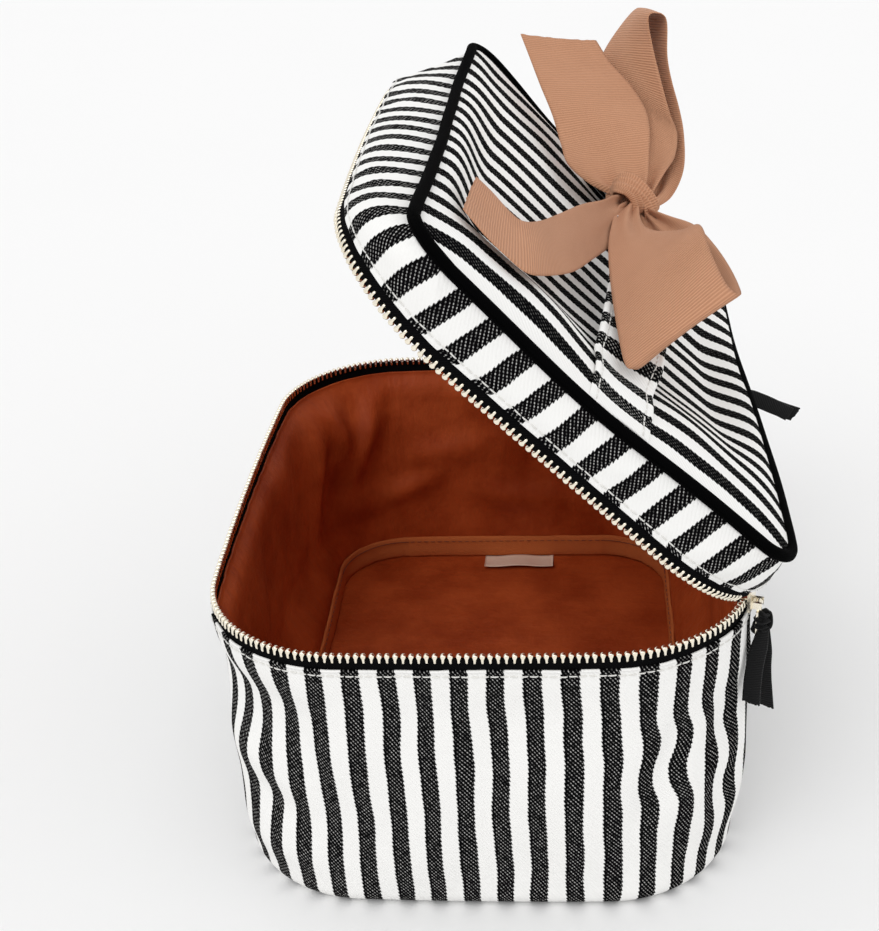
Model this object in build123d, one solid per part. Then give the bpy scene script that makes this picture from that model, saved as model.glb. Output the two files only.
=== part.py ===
from build123d import *

import math
import os

# Soft-sided zip-around vanity case with a hinged lid, carry strap and ribbon bow.
# Millimetres. +Z is up, the hinge runs along X at the back, +Y points to the back.
# The origin is on the floor, under the middle of the case. The lid is stored open.

# ---- driving dimensions -------------------------------------------------
LENGTH = 256.0  # along the hinge
WIDTH = 200.0  # front to back, at the zipper
RIM_Z = 118.0  # where the two rows of teeth meet
LID_RISE = 29.5  # from the teeth line up to the middle of the piping
SIDE_BOW = 3.0  # how far the short sides bow out
FRONT_BOW = 4.0  # how far the front bows out
CORNER_R = 54.0
WALL_TAPER = 5.0  # the walls lean in by this much from zipper to floor
TUCK = ((0.0, 8.0), (3.7, 3.5), (11.0, 0.0))  # height, and how far the cloth turns under

TOP_HALF_X = 126.0  # middle of the piping around the lid's top
TOP_HALF_Y = 83.0
TOP_BOW = 0.5
TOP_CORNER_R = 20.0

HINGE_Y = 97.0
REST_ANGLE = 45.0  # the lid is stored this far open

CLOTH = 1.0
FOAM = 3.0
LINING = 0.8
GAP = 0.1  # between layers of one sewn stack
WALL_FOOT = 0.4  # height of the wall cloth's lower edge
FOAM_DROP = 0.6  # foam and lining stop this far below the wall cloth's top
LINING_DROP = 0.8

TAPE_T = 0.9
TAPE_INSET = 1.1
TAPE_CLEAR = 0.05  # between the tape's edge and the teeth's feet
BODY_CLOTH_TOP = RIM_Z - 8.0
LID_CLOTH_BOTTOM = RIM_Z + 8.0
HINGE_BEND_DROP = 3.0  # the hinge strip bends this far below the teeth line
HINGE_END_GAP = 0.3

TOOTH_PITCH = 2.7
TOOTH_W = 1.4
TOOTH_T = 2.6
TOOTH_H = 3.2
TEETH_GAP = 1.0  # between the tips of the two rows when the lid is shut
BODY_TEETH_FROM = 9.0  # degrees round the back corners where the rows begin
LID_TEETH_FROM = 36.0
TEETH_START = 2.0  # degrees from the tape's end to the first tooth
STOP_SIZE = (3.2, 2.6, 4.2)  # end stop: through the tape, along it, height
STOP_BEFORE = 2.2  # degrees before the tape's end
STOP_DROP = 2.9

PIPING_R = 2.4
TOP_CLOTH_DROP = 0.5  # top panel's underside, below the middle of the piping
BAND_LAYER_RISE = 0.4  # the band's foam and lining start this far above its edge

BOARD_T = 2.5
BASE_CLOTH_T = 1.2
BINDING_T = 1.4
BINDING_H = 9.0
LID_BINDING_INSET = 1.2

STRAP_W = 25.0
STRAP_T = 1.8
STRAP_HALF = 112.0
STRAP_TAB = 14.0  # sewn flat at each end
STRAP_LIFT = 13.0
STRAP_Y = 4.0

RIBBON_W = 38.0
RIBBON_T = 1.2
KNOT = (-38.0, -2.0)  # the knot's middle, over the lid's top panel
KNOT_SIZE = (19.0, 17.0, 11.0)
WRAP_L = 14.0  # ribbon drawn in round the strap, under the knot
WRAP_T = 1.5
WRAP_DROP = 5.0  # how far the wrap reaches below the strap's underside
WRAP_CLEAR = 0.2
KNOT_SINK = 2.0  # how far the knot presses below the strap's top
KNOT_ROUND = 4.0
LOOP_THICK = 20.0
LOOP_CLEAR = 0.4
LOOP_SWELL_AT = 0.45  # share of a loop's length where it reaches its full thickness
LOOP_FULL_AT = 0.55  # share of its length where its ribbon is full width
TAIL_FULL_AT = 0.5
LOOP_NECK = 6.0  # half width where a loop leaves the knot
TAIL_NECK = 5.0
# each ribbon runs from an offset beside the knot to a place over the top panel,
# whose height is given above the strap's top; the last triple is its width's way
NEAR_LOOP = ((12.0, 2.0, 2.0), (78.0, 14.0, 12.0), (-0.6, 0.33, 0.73))
FAR_LOOP = ((-10.5, 4.0, 6.0), (-121.0, -27.0, 56.5), (0.3, 0.6, 0.75))
FAR_TAIL = ((-9.8, -12.0, -4.0), (-113.0, -62.0, 12.0), (0.1, 0.8, 0.6))

SLIDER_AT = 17.0  # degrees round each back corner where the sliders are parked
SLIDER_LEN = 10.0
PLATE_T = 1.2
PLATE_GAP = 0.5
SLIDER_LOW = 5.5
SLIDER_HIGH = 2.8
WEB_H = 0.5
WEB_CLEAR = 0.2
EAR_AT = 2.0  # the lug's two ears stand this far either side of its middle
EAR_T = 1.0
EAR_H = 2.6
EAR_ROOT = 0.3  # how far the ears sink into the plate
LUG_REACH = 3.2
LUG_DROP = 4.0
PIN_R = 0.6
PIN_L = 4.0
PIN_BACK = 1.4  # from the ears' tips back to the pin
PIN_CLEAR = 0.15
EYE_WALL = 0.7
EYE_L = 2.4
NECK_DROP = 1.4  # from the pin's underside to the neck's middle
NECK_H = 2.0
TAB_LEN = 13.0
TAB_W = 5.0
TAB_T = 0.8
TAB_DROP = 1.9  # from the pin's underside to the tab's plate
SLOT_UP = 3.0
SLOT_H = 2.4
SLOT_EDGE = 1.0  # metal left at each side of the slot
PULL_RIBBON_W = 10.0
PULL_RIBBON_T = 1.6
PULL_NARROW = 2.6  # the ribbon is folded to this width through the slot
PULL_BRIDGE = (5.0, 1.6)  # over the slot: outward, height
PULL_CHEEK = (1.8, 1.4, 5.0)  # each side of the tab: offset, thickness, height
PULL_KNOT = (5.0, 9.0, 8.0)
PULL_KNOT_OUT = 1.2
PULL_TAIL_OUT = 0.6
PULL_TAILS = ((-2.5, 12.0, 22.0), (2.0, -4.0, 28.0))  # sideways, tilt, length
FAR_PULL_OUT = 62.0  # degrees that the far pull stands out from hanging

LABEL_W = 34.0
LABEL_H = 10.5
LABEL_Y = 7.5
LABEL_T = 0.6
LABEL_CLEAR = 1.0

TOP_Z = RIM_Z + LID_RISE
LID_AXIS = Axis((0, HINGE_Y, RIM_Z), (-1, 0, 0))


# ---- plan outlines --------------------------------------------------------
def plan(half_x, half_y, side_bow, front_bow, corner_r):
    """Circles of a plan with a straight back and bowed front and sides."""
    side_r = (half_y**2 + side_bow**2) / (2 * side_bow)
    side_x = half_x - side_r
    front_r = (half_x**2 + front_bow**2) / (2 * front_bow)
    front_y = front_r - half_y
    back_y = half_y - corner_r
    back_x = side_x + math.sqrt((side_r - corner_r) ** 2 - back_y**2)
    # the front corner's centre is inside both big circles by the corner radius
    reach_side = side_r - corner_r
    reach_front = front_r - corner_r
    span = math.hypot(side_x, front_y)
    along = (reach_side**2 - reach_front**2 + span**2) / (2 * span)
    off = math.sqrt(reach_side**2 - along**2)
    ux, uy = -side_x / span, front_y / span
    corner_x = side_x + along * ux + off * uy
    corner_y = along * uy - off * ux
    return {
        "half_y": half_y,
        "corner_r": corner_r,
        "side": (side_x, 0.0, side_r),
        "front": (0.0, front_y, front_r),
        "back_corner": (back_x, back_y),
        "front_corner": (corner_x, corner_y),
    }


def degrees_of(dx, dy):
    return math.degrees(math.atan2(dy, dx))


def plan_arcs(shape, inset=0.0):
    """The right half's arcs, front to back: centre x, y, radius, first and last angle."""
    side_x, side_y, side_r = shape["side"]
    front_x, front_y, front_r = shape["front"]
    fx, fy = shape["front_corner"]
    bx, by = shape["back_corner"]
    r = shape["corner_r"] - inset
    front_end = degrees_of(fx - front_x, fy - front_y)
    side_start = degrees_of(fx - side_x, fy - side_y)
    side_end = degrees_of(bx - side_x, by - side_y)
    return [
        (front_x, front_y, front_r - inset, -90.0, front_end),
        (fx, fy, r, front_end, side_start),
        (side_x, side_y, side_r - inset, side_start, side_end),
        (bx, by, r, side_end, 90.0),
    ]


def outline_wire(shape, inset=0.0, z=0.0):
    arcs = plan_arcs(shape, inset)
    edges = []
    for cx, cy, r, first, last in arcs:
        edges.append(CenterArc((cx, cy), r, first, last - first))
    bx, by = shape["back_corner"]
    back_y = by + shape["corner_r"] - inset
    edges.append(Line((bx, back_y), (-bx, back_y)))
    for cx, cy, r, first, last in reversed(arcs):
        edges.append(CenterArc((-cx, cy), r, 180.0 - last, last - first))
    return Pos(0, 0, z) * Wire(edges)


def outline_face(shape, inset=0.0, z=0.0):
    return Face(outline_wire(shape, inset, z))


BODY_PLAN = plan(LENGTH / 2, WIDTH / 2, SIDE_BOW, FRONT_BOW, CORNER_R)
TOP_PLAN = plan(TOP_HALF_X, TOP_HALF_Y, TOP_BOW, TOP_BOW, TOP_CORNER_R)


def body_inset(z):
    """How far the outer cloth stands inside the rim's outline at a height."""
    lean = WALL_TAPER * (1 - z / BODY_CLOTH_TOP)
    for (low, under), (high, over) in zip(TUCK, TUCK[1:]):
        if z <= high:
            return lean + under + (over - under) * (z - low) / (high - low)
    return lean


def stack(levels):
    """A closed solid through (plan, inset, z) levels, with straight sides between."""
    solids = []
    for low, high in zip(levels, levels[1:]):
        wires = [outline_wire(*low), outline_wire(*high)]
        solids.append(Solid.make_loft(wires, ruled=True))
    return solids[0] if len(solids) == 1 else solids[0].fuse(*solids[1:])


def body_levels(depth, low, high):
    heights = [low] + [z for z, _ in TUCK if low < z < high] + [high]
    return [(BODY_PLAN, body_inset(z) + depth, z) for z in heights]


def body_shell(outer, inner, low, high):
    return stack(body_levels(outer, low, high)) - stack(body_levels(inner, low, high))


def prism(shape, inset, low, high):
    return extrude(outline_face(shape, inset, low), high - low, dir=(0, 0, 1))


def ring(shape, outer, inner, low, high):
    return prism(shape, outer, low, high) - prism(shape, inner, low, high)


def opened(shape):
    """Lid pieces are laid out shut and stored open."""
    return shape.rotate(LID_AXIS, REST_ANGLE)


# ---- points along the rim ---------------------------------------------------
def rim_path(first_angle, inset):
    """The zipper's line from the near back corner, round the front, to the far one."""
    arcs = plan_arcs(BODY_PLAN, inset)
    cx, cy, r, low, high = arcs[3]
    arcs[3] = (cx, cy, r, low, 90.0 - first_angle)
    path = []
    for cx, cy, r, first, last in reversed(arcs):
        path.append((cx, cy, r, last, first))
    for cx, cy, r, first, last in arcs:
        path.append((-cx, cy, r, 180.0 - first, 180.0 - last))
    return path


def rim_points(first_angle, inset, pitch, phase):
    """Evenly spaced (x, y, heading) along the zipper's line."""
    path = rim_path(first_angle, inset)
    lengths = [abs(math.radians(b - a)) * r for _, _, r, a, b in path]
    total = sum(lengths)
    count = int((total - pitch) / pitch)
    start = (total - count * pitch) / 2 + phase
    points = []
    for k in range(count):
        s = start + k * pitch
        n = 0
        while s > lengths[n]:
            s -= lengths[n]
            n += 1
        cx, cy, r, a, b = path[n]
        angle = a + (b - a) * s / lengths[n]
        x = cx + r * math.cos(math.radians(angle))
        y = cy + r * math.sin(math.radians(angle))
        points.append((x, y, angle))
    return points


def rim_band(first_angle, outer, inner, low, high):
    """A band along the zipper's line, open across the hinge."""
    band = ring(BODY_PLAN, outer, inner, low, high)
    bx, by = BODY_PLAN["back_corner"]
    reach = 2 * CORNER_R
    swing = math.radians(first_angle)
    right = (bx + reach * math.sin(swing), by + reach * math.cos(swing))
    left = (-right[0], right[1])
    cut = make_face(Polyline((bx, by), right, left, (-bx, by), (bx, by)))
    return band - extrude(Pos(0, 0, low - 1) * cut, high - low + 2, dir=(0, 0, 1))


# ---- the case ---------------------------------------------------------------
FOAM_IN = CLOTH + GAP
FOAM_OUT = FOAM_IN + FOAM
LINING_IN = FOAM_OUT + GAP
LINING_OUT = LINING_IN + LINING
FLOOR_TOP = BASE_CLOTH_T + GAP + BOARD_T
BASE_LINING_Z = FLOOR_TOP + GAP
BASE_LINING_TOP = BASE_LINING_Z + LINING


def outer_wall():
    """Striped twill wall, tucked under at the floor."""
    return body_shell(0.0, CLOTH, WALL_FOOT, BODY_CLOTH_TOP)


def outer_bottom():
    """Bottom panel that the case stands on."""
    return prism(BODY_PLAN, body_inset(WALL_FOOT) + CLOTH + GAP, 0.0, BASE_CLOTH_T)


def base_board():
    low = BASE_CLOTH_T + GAP
    return prism(BODY_PLAN, body_inset(low) + CLOTH + 3 * GAP, low, FLOOR_TOP)


def wall_padding():
    """Foam between the twill and the lining."""
    return body_shell(FOAM_IN, FOAM_OUT, FLOOR_TOP + GAP, BODY_CLOTH_TOP - FOAM_DROP)


def wall_lining():
    return body_shell(LINING_IN, LINING_OUT, FLOOR_TOP + GAP, BODY_CLOTH_TOP - LINING_DROP)


def base_lining():
    inset = body_inset(BASE_LINING_Z) + LINING_OUT + GAP
    return prism(BODY_PLAN, inset, BASE_LINING_Z, BASE_LINING_TOP)


def base_binding():
    """Twill tape that binds the seam between wall lining and base lining."""
    low = BASE_LINING_TOP + GAP
    depth = LINING_OUT + GAP
    outer = stack(body_levels(depth, low, low + BINDING_H))
    inner = stack(body_levels(depth + BINDING_T, low, low + BINDING_H))
    return outer - inner


def care_label():
    """Blank woven label, sewn to the binding at the far short side."""
    low = BASE_LINING_TOP + LABEL_CLEAR
    face_x = -(LENGTH / 2) + body_inset(low) + LINING_OUT + BINDING_T + LABEL_CLEAR
    return Pos(face_x, LABEL_Y, low + LABEL_H / 2) * Box(LABEL_T, LABEL_W, LABEL_H)


def body_zip_tape():
    low = BODY_CLOTH_TOP + GAP
    high = RIM_Z - TEETH_GAP / 2 - TOOTH_H - TAPE_CLEAR
    return rim_band(BODY_TEETH_FROM, TAPE_INSET, TAPE_INSET + TAPE_T, low, high)


def teeth_row(first_angle, low, phase):
    """One small block for each tooth, standing on the edge of the tape."""
    middle = TAPE_INSET + TAPE_T / 2
    tooth = Pos(0, 0, low + TOOTH_H / 2) * Box(TOOTH_T, TOOTH_W, TOOTH_H)
    row = []
    for x, y, angle in rim_points(first_angle, middle, TOOTH_PITCH, phase):
        row.append(Pos(x, y, 0) * Rot(0, 0, angle) * tooth)
    return Compound(children=row)


def body_zip_teeth():
    return teeth_row(BODY_TEETH_FROM + TEETH_START, RIM_Z - TEETH_GAP / 2 - TOOTH_H, 0.0)


def zip_end_stops():
    """Metal end stops past the parked sliders, next to the hinge."""
    bx, by = BODY_PLAN["back_corner"]
    middle = CORNER_R - TAPE_INSET - TAPE_T / 2
    swing = BODY_TEETH_FROM - STOP_BEFORE
    stop = Pos(middle, 0, RIM_Z - STOP_DROP) * Box(*STOP_SIZE)
    near = Pos(bx, by, 0) * Rot(0, 0, 90 - swing) * stop
    far = Pos(-bx, by, 0) * Rot(0, 0, 90 + swing) * stop
    return Compound(children=[near, far])


def hinge_strip():
    """Cloth hinge: up from the wall, then bent back to the open lid's band."""
    inner_y = WIDTH / 2 - CLOTH
    bend_z = RIM_Z - HINGE_BEND_DROP
    lean = math.radians(REST_ANGLE)
    rise = LID_CLOTH_BOTTOM - RIM_Z - HINGE_END_GAP
    run_y = WIDTH / 2 - HINGE_Y
    top_y = HINGE_Y + run_y * math.cos(lean) + rise * math.sin(lean)
    top_z = RIM_Z - run_y * math.sin(lean) + rise * math.cos(lean)
    back = CLOTH * math.cos(lean)
    outline = Polyline(
        (inner_y, BODY_CLOTH_TOP + GAP),
        (inner_y + CLOTH, BODY_CLOTH_TOP + GAP),
        (inner_y + CLOTH, bend_z),
        (top_y, top_z),
        (top_y - back, top_z + back),
        (inner_y, bend_z + CLOTH / 2),
        (inner_y, BODY_CLOTH_TOP + GAP),
    )
    half = BODY_PLAN["back_corner"][0]
    face = make_face(Plane.YZ * outline)
    return extrude(Pos(-half, 0, 0) * face, 2 * half, dir=(1, 0, 0))


# ---- the lid, laid out shut ---------------------------------------------------
BAND_TOP = TOP_Z - PIPING_R - GAP
TOP_CLOTH_Z = TOP_Z - TOP_CLOTH_DROP
TOP_FOAM_Z = TOP_CLOTH_Z - GAP - FOAM
TOP_LINING_Z = TOP_FOAM_Z - GAP - LINING


def band_shell(outer, inner, low, high):
    """A band of the lid's sloped side, from the rim's plan to the top's plan."""

    def slab(depth):
        rim = (BODY_PLAN, depth, LID_CLOTH_BOTTOM)
        return stack([rim, (TOP_PLAN, depth, BAND_TOP)])

    band = slab(outer) - slab(inner)
    keep = Pos(0, 0, (low + high) / 2) * Box(2 * LENGTH, 2 * WIDTH, high - low)
    return band & keep


def lid_band():
    return band_shell(0.0, CLOTH, LID_CLOTH_BOTTOM, BAND_TOP)


def lid_band_padding():
    return band_shell(FOAM_IN, FOAM_OUT, LID_CLOTH_BOTTOM + BAND_LAYER_RISE, BAND_TOP)


def lid_band_lining():
    return band_shell(LINING_IN, LINING_OUT, LID_CLOTH_BOTTOM + BAND_LAYER_RISE, TOP_LINING_Z - GAP)


def lid_top_panel():
    return prism(TOP_PLAN, PIPING_R + GAP, TOP_CLOTH_Z, TOP_CLOTH_Z + CLOTH)


def lid_top_padding():
    return prism(TOP_PLAN, FOAM_OUT + 5 * GAP, TOP_FOAM_Z, TOP_FOAM_Z + FOAM)


def lid_top_lining():
    return prism(TOP_PLAN, FOAM_OUT + 5 * GAP, TOP_LINING_Z, TOP_LINING_Z + LINING)


def lid_binding():
    """Twill tape over the lid's inside seam."""
    inset = LINING_OUT + LID_BINDING_INSET
    high = TOP_LINING_Z - GAP
    return ring(TOP_PLAN, inset, inset + BINDING_T, high - BINDING_H / 2, high)


def lid_piping():
    """Covered cord round the lid's top edge."""
    path = outline_wire(TOP_PLAN, 0.0, TOP_Z)
    start = path.position_at(0)
    section = Plane(origin=start, z_dir=path.tangent_at(0)) * Circle(PIPING_R)
    return sweep(section, path, transition=Transition.RIGHT)


def lid_zip_tape():
    low = RIM_Z + TEETH_GAP / 2 + TOOTH_H + TAPE_CLEAR
    high = LID_CLOTH_BOTTOM - GAP
    return rim_band(LID_TEETH_FROM, TAPE_INSET, TAPE_INSET + TAPE_T, low, high)


def lid_zip_teeth():
    return teeth_row(LID_TEETH_FROM + TEETH_START, RIM_Z + TEETH_GAP / 2, 0.0)


STRAP_LOW = TOP_CLOTH_Z + CLOTH + GAP
STRAP_TOP = STRAP_LOW + STRAP_LIFT + STRAP_T


def handle_strap():
    """Self-cloth strap: tabs sewn down at both ends and a low arch for the hand."""
    flat = STRAP_HALF - STRAP_TAB
    low, high = STRAP_LOW, STRAP_LOW + STRAP_T
    outline = [
        Line((-STRAP_HALF, low), (-flat, low)),
        ThreePointArc((-flat, low), (0, low + STRAP_LIFT), (flat, low)),
        Line((flat, low), (STRAP_HALF, low)),
        Line((STRAP_HALF, low), (STRAP_HALF, high)),
        Line((STRAP_HALF, high), (flat, high)),
        ThreePointArc((flat, high), (0, high + STRAP_LIFT), (-flat, high)),
        Line((-flat, high), (-STRAP_HALF, high)),
        Line((-STRAP_HALF, high), (-STRAP_HALF, low)),
    ]
    face = Plane.XZ * make_face(outline)
    return extrude(Pos(0, STRAP_Y + STRAP_W / 2, 0) * face, STRAP_W, dir=(0, -1, 0))


# ---- the bow, laid out on the shut lid ----------------------------------------
def strap_room(clear):
    """The space that ribbon must leave round the strap."""
    flat = STRAP_HALF - STRAP_TAB
    low = STRAP_LOW - clear
    high = STRAP_LOW + STRAP_T + clear
    outline = [
        Line((-flat, low), (flat, low)),
        Line((flat, low), (flat, high)),
        ThreePointArc((flat, high), (0, high + STRAP_LIFT), (-flat, high)),
        Line((-flat, high), (-flat, low)),
    ]
    wide = STRAP_W + 2 * clear
    face = Plane.XZ * make_face(outline)
    return extrude(Pos(0, STRAP_Y + wide / 2, 0) * face, wide, dir=(0, -1, 0))


KNOT_LOW = STRAP_TOP - KNOT_SINK
KNOT_MID = (KNOT[0], KNOT[1], KNOT_LOW + KNOT_SIZE[2] / 2)


def bow_knot():
    """Ribbon drawn once round the strap, with the knot on top."""
    length, width, height = KNOT_SIZE
    x, y, _ = KNOT_MID
    knot = Pos(*KNOT_MID) * Box(length, width, height)
    knot = fillet(knot.edges().filter_by(Axis.X), KNOT_ROUND)
    wrap_low = STRAP_TOP - STRAP_T - WRAP_DROP
    wrap = Pos(x, STRAP_Y, (wrap_low + STRAP_TOP) / 2)
    wrap *= Box(WRAP_L, STRAP_W + 2 * WRAP_T, STRAP_TOP - wrap_low)
    return knot + wrap - strap_room(WRAP_CLEAR)


def ribbon_fan(length, narrow, wide, reach):
    """The ribbon's flat shape, gathered at the knot and full width further out."""
    points = [(0.0, narrow), (reach, wide), (2 * length, wide)]
    lower = [(x, -z) for x, z in reversed(points)]
    face = make_face(Plane.XZ * Polyline(*points, *lower, points[0]))
    return extrude(face, 2 * LOOP_THICK, dir=(0, 1, 0), both=True)


def ribbon_frame(run):
    """A plane with X from a ribbon's start to its end and Z near its width."""
    offset, reach, across = run
    start = [a + b for a, b in zip(KNOT_MID, offset)]
    end = (reach[0], reach[1], STRAP_TOP + reach[2])
    along = Vector(*end) - Vector(*start)
    side = along.cross(Vector(*across)).cross(along)
    return Plane(origin=start, x_dir=along, z_dir=side), along.length


def ribbon_loop(run):
    """A closed loop of ribbon, pinched at the knot and rounded at its fold."""
    frame, length = ribbon_frame(run)

    def drop(shrink):
        half = LOOP_THICK / 2 - shrink
        tail = 3 * shrink
        swell = length * LOOP_SWELL_AT
        turn = length - LOOP_THICK / 2
        upper = Polyline((tail, 0.0), (swell, half), (turn, half))
        fold = ThreePointArc((turn, half), (length - shrink, 0.0), (turn, -half))
        lower = Polyline((turn, -half), (swell, -half), (tail, 0.0))
        return make_face([*upper.edges(), fold, *lower.edges()])

    section = drop(0.0) - drop(RIBBON_T)
    band = extrude(section, RIBBON_W / 2, dir=(0, 0, 1), both=True)
    fan = ribbon_fan(length, LOOP_NECK, RIBBON_W / 2, length * LOOP_FULL_AT)
    return frame * (band & fan)


def bow_loop_near():
    return ribbon_loop(NEAR_LOOP) - strap_room(LOOP_CLEAR)


def bow_loop_far():
    return ribbon_loop(FAR_LOOP)


TAIL_NEAR = (
    (-27.0, -13.5),
    (12.0, -13.0),
    (50.0, -14.0),
    (84.0, -34.0),
    (97.0, -50.0),
    (90.0, -71.0),
    (57.0, -70.0),
    (56.0, -56.0),
    (45.0, -45.0),
    (14.0, -32.0),
    (-27.0, -20.0),
)
TAIL_NEAR_DROP = 6.0  # degrees that it slopes down to the panel
TAIL_NEAR_RISE = 2.0


def bow_tail_near():
    """Cut end of ribbon that runs down and along the lid's top panel."""
    flat = make_face(Polyline(*TAIL_NEAR, TAIL_NEAR[0]))
    strip = extrude(flat, RIBBON_T, dir=(0, 0, 1))
    hang = Pos(KNOT[0], 0, STRAP_LOW + STRAP_LIFT + TAIL_NEAR_RISE) * Rot(0, TAIL_NEAR_DROP, 0)
    return hang * Pos(-KNOT[0], 0, 0) * strip


def bow_tail_far():
    """Cut end of ribbon that stands up and away from the knot."""
    frame, length = ribbon_frame(FAR_TAIL)
    strip = Pos(length / 2, 0, 0) * Box(length, RIBBON_T, RIBBON_W)
    fan = ribbon_fan(length, TAIL_NECK, RIBBON_W / 2, length * TAIL_FULL_AT)
    return frame * (strip & fan)


# ---- the sliders and their pulls -----------------------------------------------
def at_corner(side, shape, swing=SLIDER_AT):
    """Place a piece made on the X axis at its angle round a back corner."""
    bx, by = BODY_PLAN["back_corner"]
    return Pos(side * bx, by, 0) * Rot(0, 0, 90 - side * swing) * shape


def corner_sector(outer, inner, low, high):
    """A short arc of wall about the corner's centre, as long as the slider."""
    half = math.degrees(SLIDER_LEN / 2 / CORNER_R)
    arc = CenterArc((0, 0), outer, -half, 2 * half)
    back = CenterArc((0, 0), inner, -half, 2 * half)
    sides = [Line(arc @ 0, back @ 0), Line(arc @ 1, back @ 1)]
    face = make_face([arc, back, *sides])
    return extrude(Pos(0, 0, low) * face, high - low, dir=(0, 0, 1))


ROW_MID = CORNER_R - TAPE_INSET - TAPE_T / 2
PLATE_OUT_IN = ROW_MID + TOOTH_T / 2 + PLATE_GAP
PLATE_IN_OUT = ROW_MID - TOOTH_T / 2 - PLATE_GAP
LUG_OUT = PLATE_OUT_IN + PLATE_T + LUG_REACH
LUG_Z = RIM_Z - LUG_DROP
PULL_X = LUG_OUT - PIN_BACK
TAB_END = LUG_Z - PIN_R - TAB_DROP - TAB_LEN
TAB_SLOT = TAB_END + SLOT_UP


def slider(side):
    """Two plates either side of the teeth, a thin web between, and a lug outside."""
    low, high = RIM_Z - SLIDER_LOW, RIM_Z + SLIDER_HIGH
    body = corner_sector(PLATE_OUT_IN + PLATE_T, PLATE_OUT_IN, low, high)
    body += corner_sector(PLATE_IN_OUT, PLATE_IN_OUT - PLATE_T, low, high)
    web_out, web_in = PLATE_OUT_IN + WEB_CLEAR, PLATE_IN_OUT - WEB_CLEAR
    body += corner_sector(web_out, web_in, RIM_Z - WEB_H / 2, RIM_Z + WEB_H / 2)
    lug_from = PLATE_OUT_IN + PLATE_T - EAR_ROOT
    for y in (-EAR_AT, EAR_AT):
        ear = Box(LUG_OUT - lug_from, EAR_T, EAR_H)
        body += Pos((lug_from + LUG_OUT) / 2, y, LUG_Z) * ear
    pin = Pos(PULL_X, 0, LUG_Z) * Rot(90, 0, 0) * Cylinder(PIN_R, PIN_L)
    return at_corner(side, body + pin)


def hanging(side, shape, lift):
    """Swing a pull about its slider's pin, then place it at its corner."""
    axis = Axis((PULL_X, 0, LUG_Z), (0, -1, 0))
    return at_corner(side, shape.rotate(axis, lift) if lift else shape)


def pull_tab(side, lift):
    """Metal tab with an eye round the slider's pin and a slot for the ribbon."""
    pin = Pos(PULL_X, 0, LUG_Z) * Rot(90, 0, 0)
    eye = pin * Cylinder(PIN_R + EYE_WALL, EYE_L)
    eye -= pin * Cylinder(PIN_R + PIN_CLEAR, 2 * EYE_L)
    neck = Pos(PULL_X, 0, LUG_Z - PIN_R - NECK_DROP) * Box(TAB_T, EYE_L, NECK_H)
    plate = Pos(PULL_X, 0, TAB_END + TAB_LEN / 2) * Box(TAB_T, TAB_W, TAB_LEN)
    slot = Pos(PULL_X, 0, TAB_SLOT) * Box(3 * TAB_T, TAB_W - 2 * SLOT_EDGE, SLOT_H)
    return hanging(side, eye + neck + plate - slot, lift)


def pull_ribbon(side, lift):
    """Black ribbon threaded through the tab, knotted, with two cut tails."""
    bridge_out, bridge_h = PULL_BRIDGE
    offset, cheek_t, cheek_h = PULL_CHEEK
    knot_out, knot_w, knot_h = PULL_KNOT
    ribbon = Pos(PULL_X, 0, TAB_SLOT - GAP) * Box(bridge_out, PULL_NARROW, bridge_h)
    for cheek in (-offset, offset):
        ribbon += Pos(PULL_X + cheek, 0, TAB_SLOT - offset) * Box(cheek_t, PULL_NARROW, cheek_h)
    knot_top = TAB_SLOT - 2 * offset
    ribbon += Pos(PULL_X + PULL_KNOT_OUT, 0, knot_top - knot_h / 2) * Box(knot_out, knot_w, knot_h)
    for sideways, tilt, length in PULL_TAILS:
        tail = Pos(0, 0, -length / 2) * Box(PULL_RIBBON_T, PULL_RIBBON_W, length)
        hang = Pos(PULL_X + PULL_TAIL_OUT, sideways, knot_top - knot_h + PULL_RIBBON_T)
        ribbon += hang * Rot(tilt, 0, 0) * tail
    return hanging(side, ribbon, lift)


def main():
    lid_pieces = {
        "lid_band": lid_band(),
        "lid_top_panel": lid_top_panel(),
        "lid_piping": lid_piping(),
        "lid_band_padding": lid_band_padding(),
        "lid_top_padding": lid_top_padding(),
        "lid_band_lining": lid_band_lining(),
        "lid_top_lining": lid_top_lining(),
        "lid_binding": lid_binding(),
        "lid_zip_tape": lid_zip_tape(),
        "lid_zip_teeth": lid_zip_teeth(),
        "handle_strap": handle_strap(),
        "bow_knot": bow_knot(),
        "bow_loop_near": bow_loop_near(),
        "bow_loop_far": bow_loop_far(),
        "bow_tail_near": bow_tail_near(),
        "bow_tail_far": bow_tail_far(),
    }
    pieces = {
        "outer_wall": outer_wall(),
        "outer_bottom": outer_bottom(),
        "wall_padding": wall_padding(),
        "base_board": base_board(),
        "wall_lining": wall_lining(),
        "base_lining": base_lining(),
        "base_binding": base_binding(),
        "care_label": care_label(),
        "body_zip_tape": body_zip_tape(),
        "body_zip_teeth": body_zip_teeth(),
        "zip_end_stops": zip_end_stops(),
        "hinge_strip": hinge_strip(),
        "slider_near": slider(1),
        "slider_far": slider(-1),
        "pull_tab_near": pull_tab(1, 0.0),
        "pull_tab_far": pull_tab(-1, FAR_PULL_OUT),
        "pull_ribbon_near": pull_ribbon(1, 0.0),
        "pull_ribbon_far": pull_ribbon(-1, FAR_PULL_OUT),
    }
    for name, shape in lid_pieces.items():
        pieces[name] = opened(shape)
    os.makedirs("parts", exist_ok=True)
    for name, shape in pieces.items():
        export_step(shape, f"parts/{name}.step")


main()
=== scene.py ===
import math

import bmesh
import bpy
import numpy as np
from mathutils import Matrix, Vector


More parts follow.
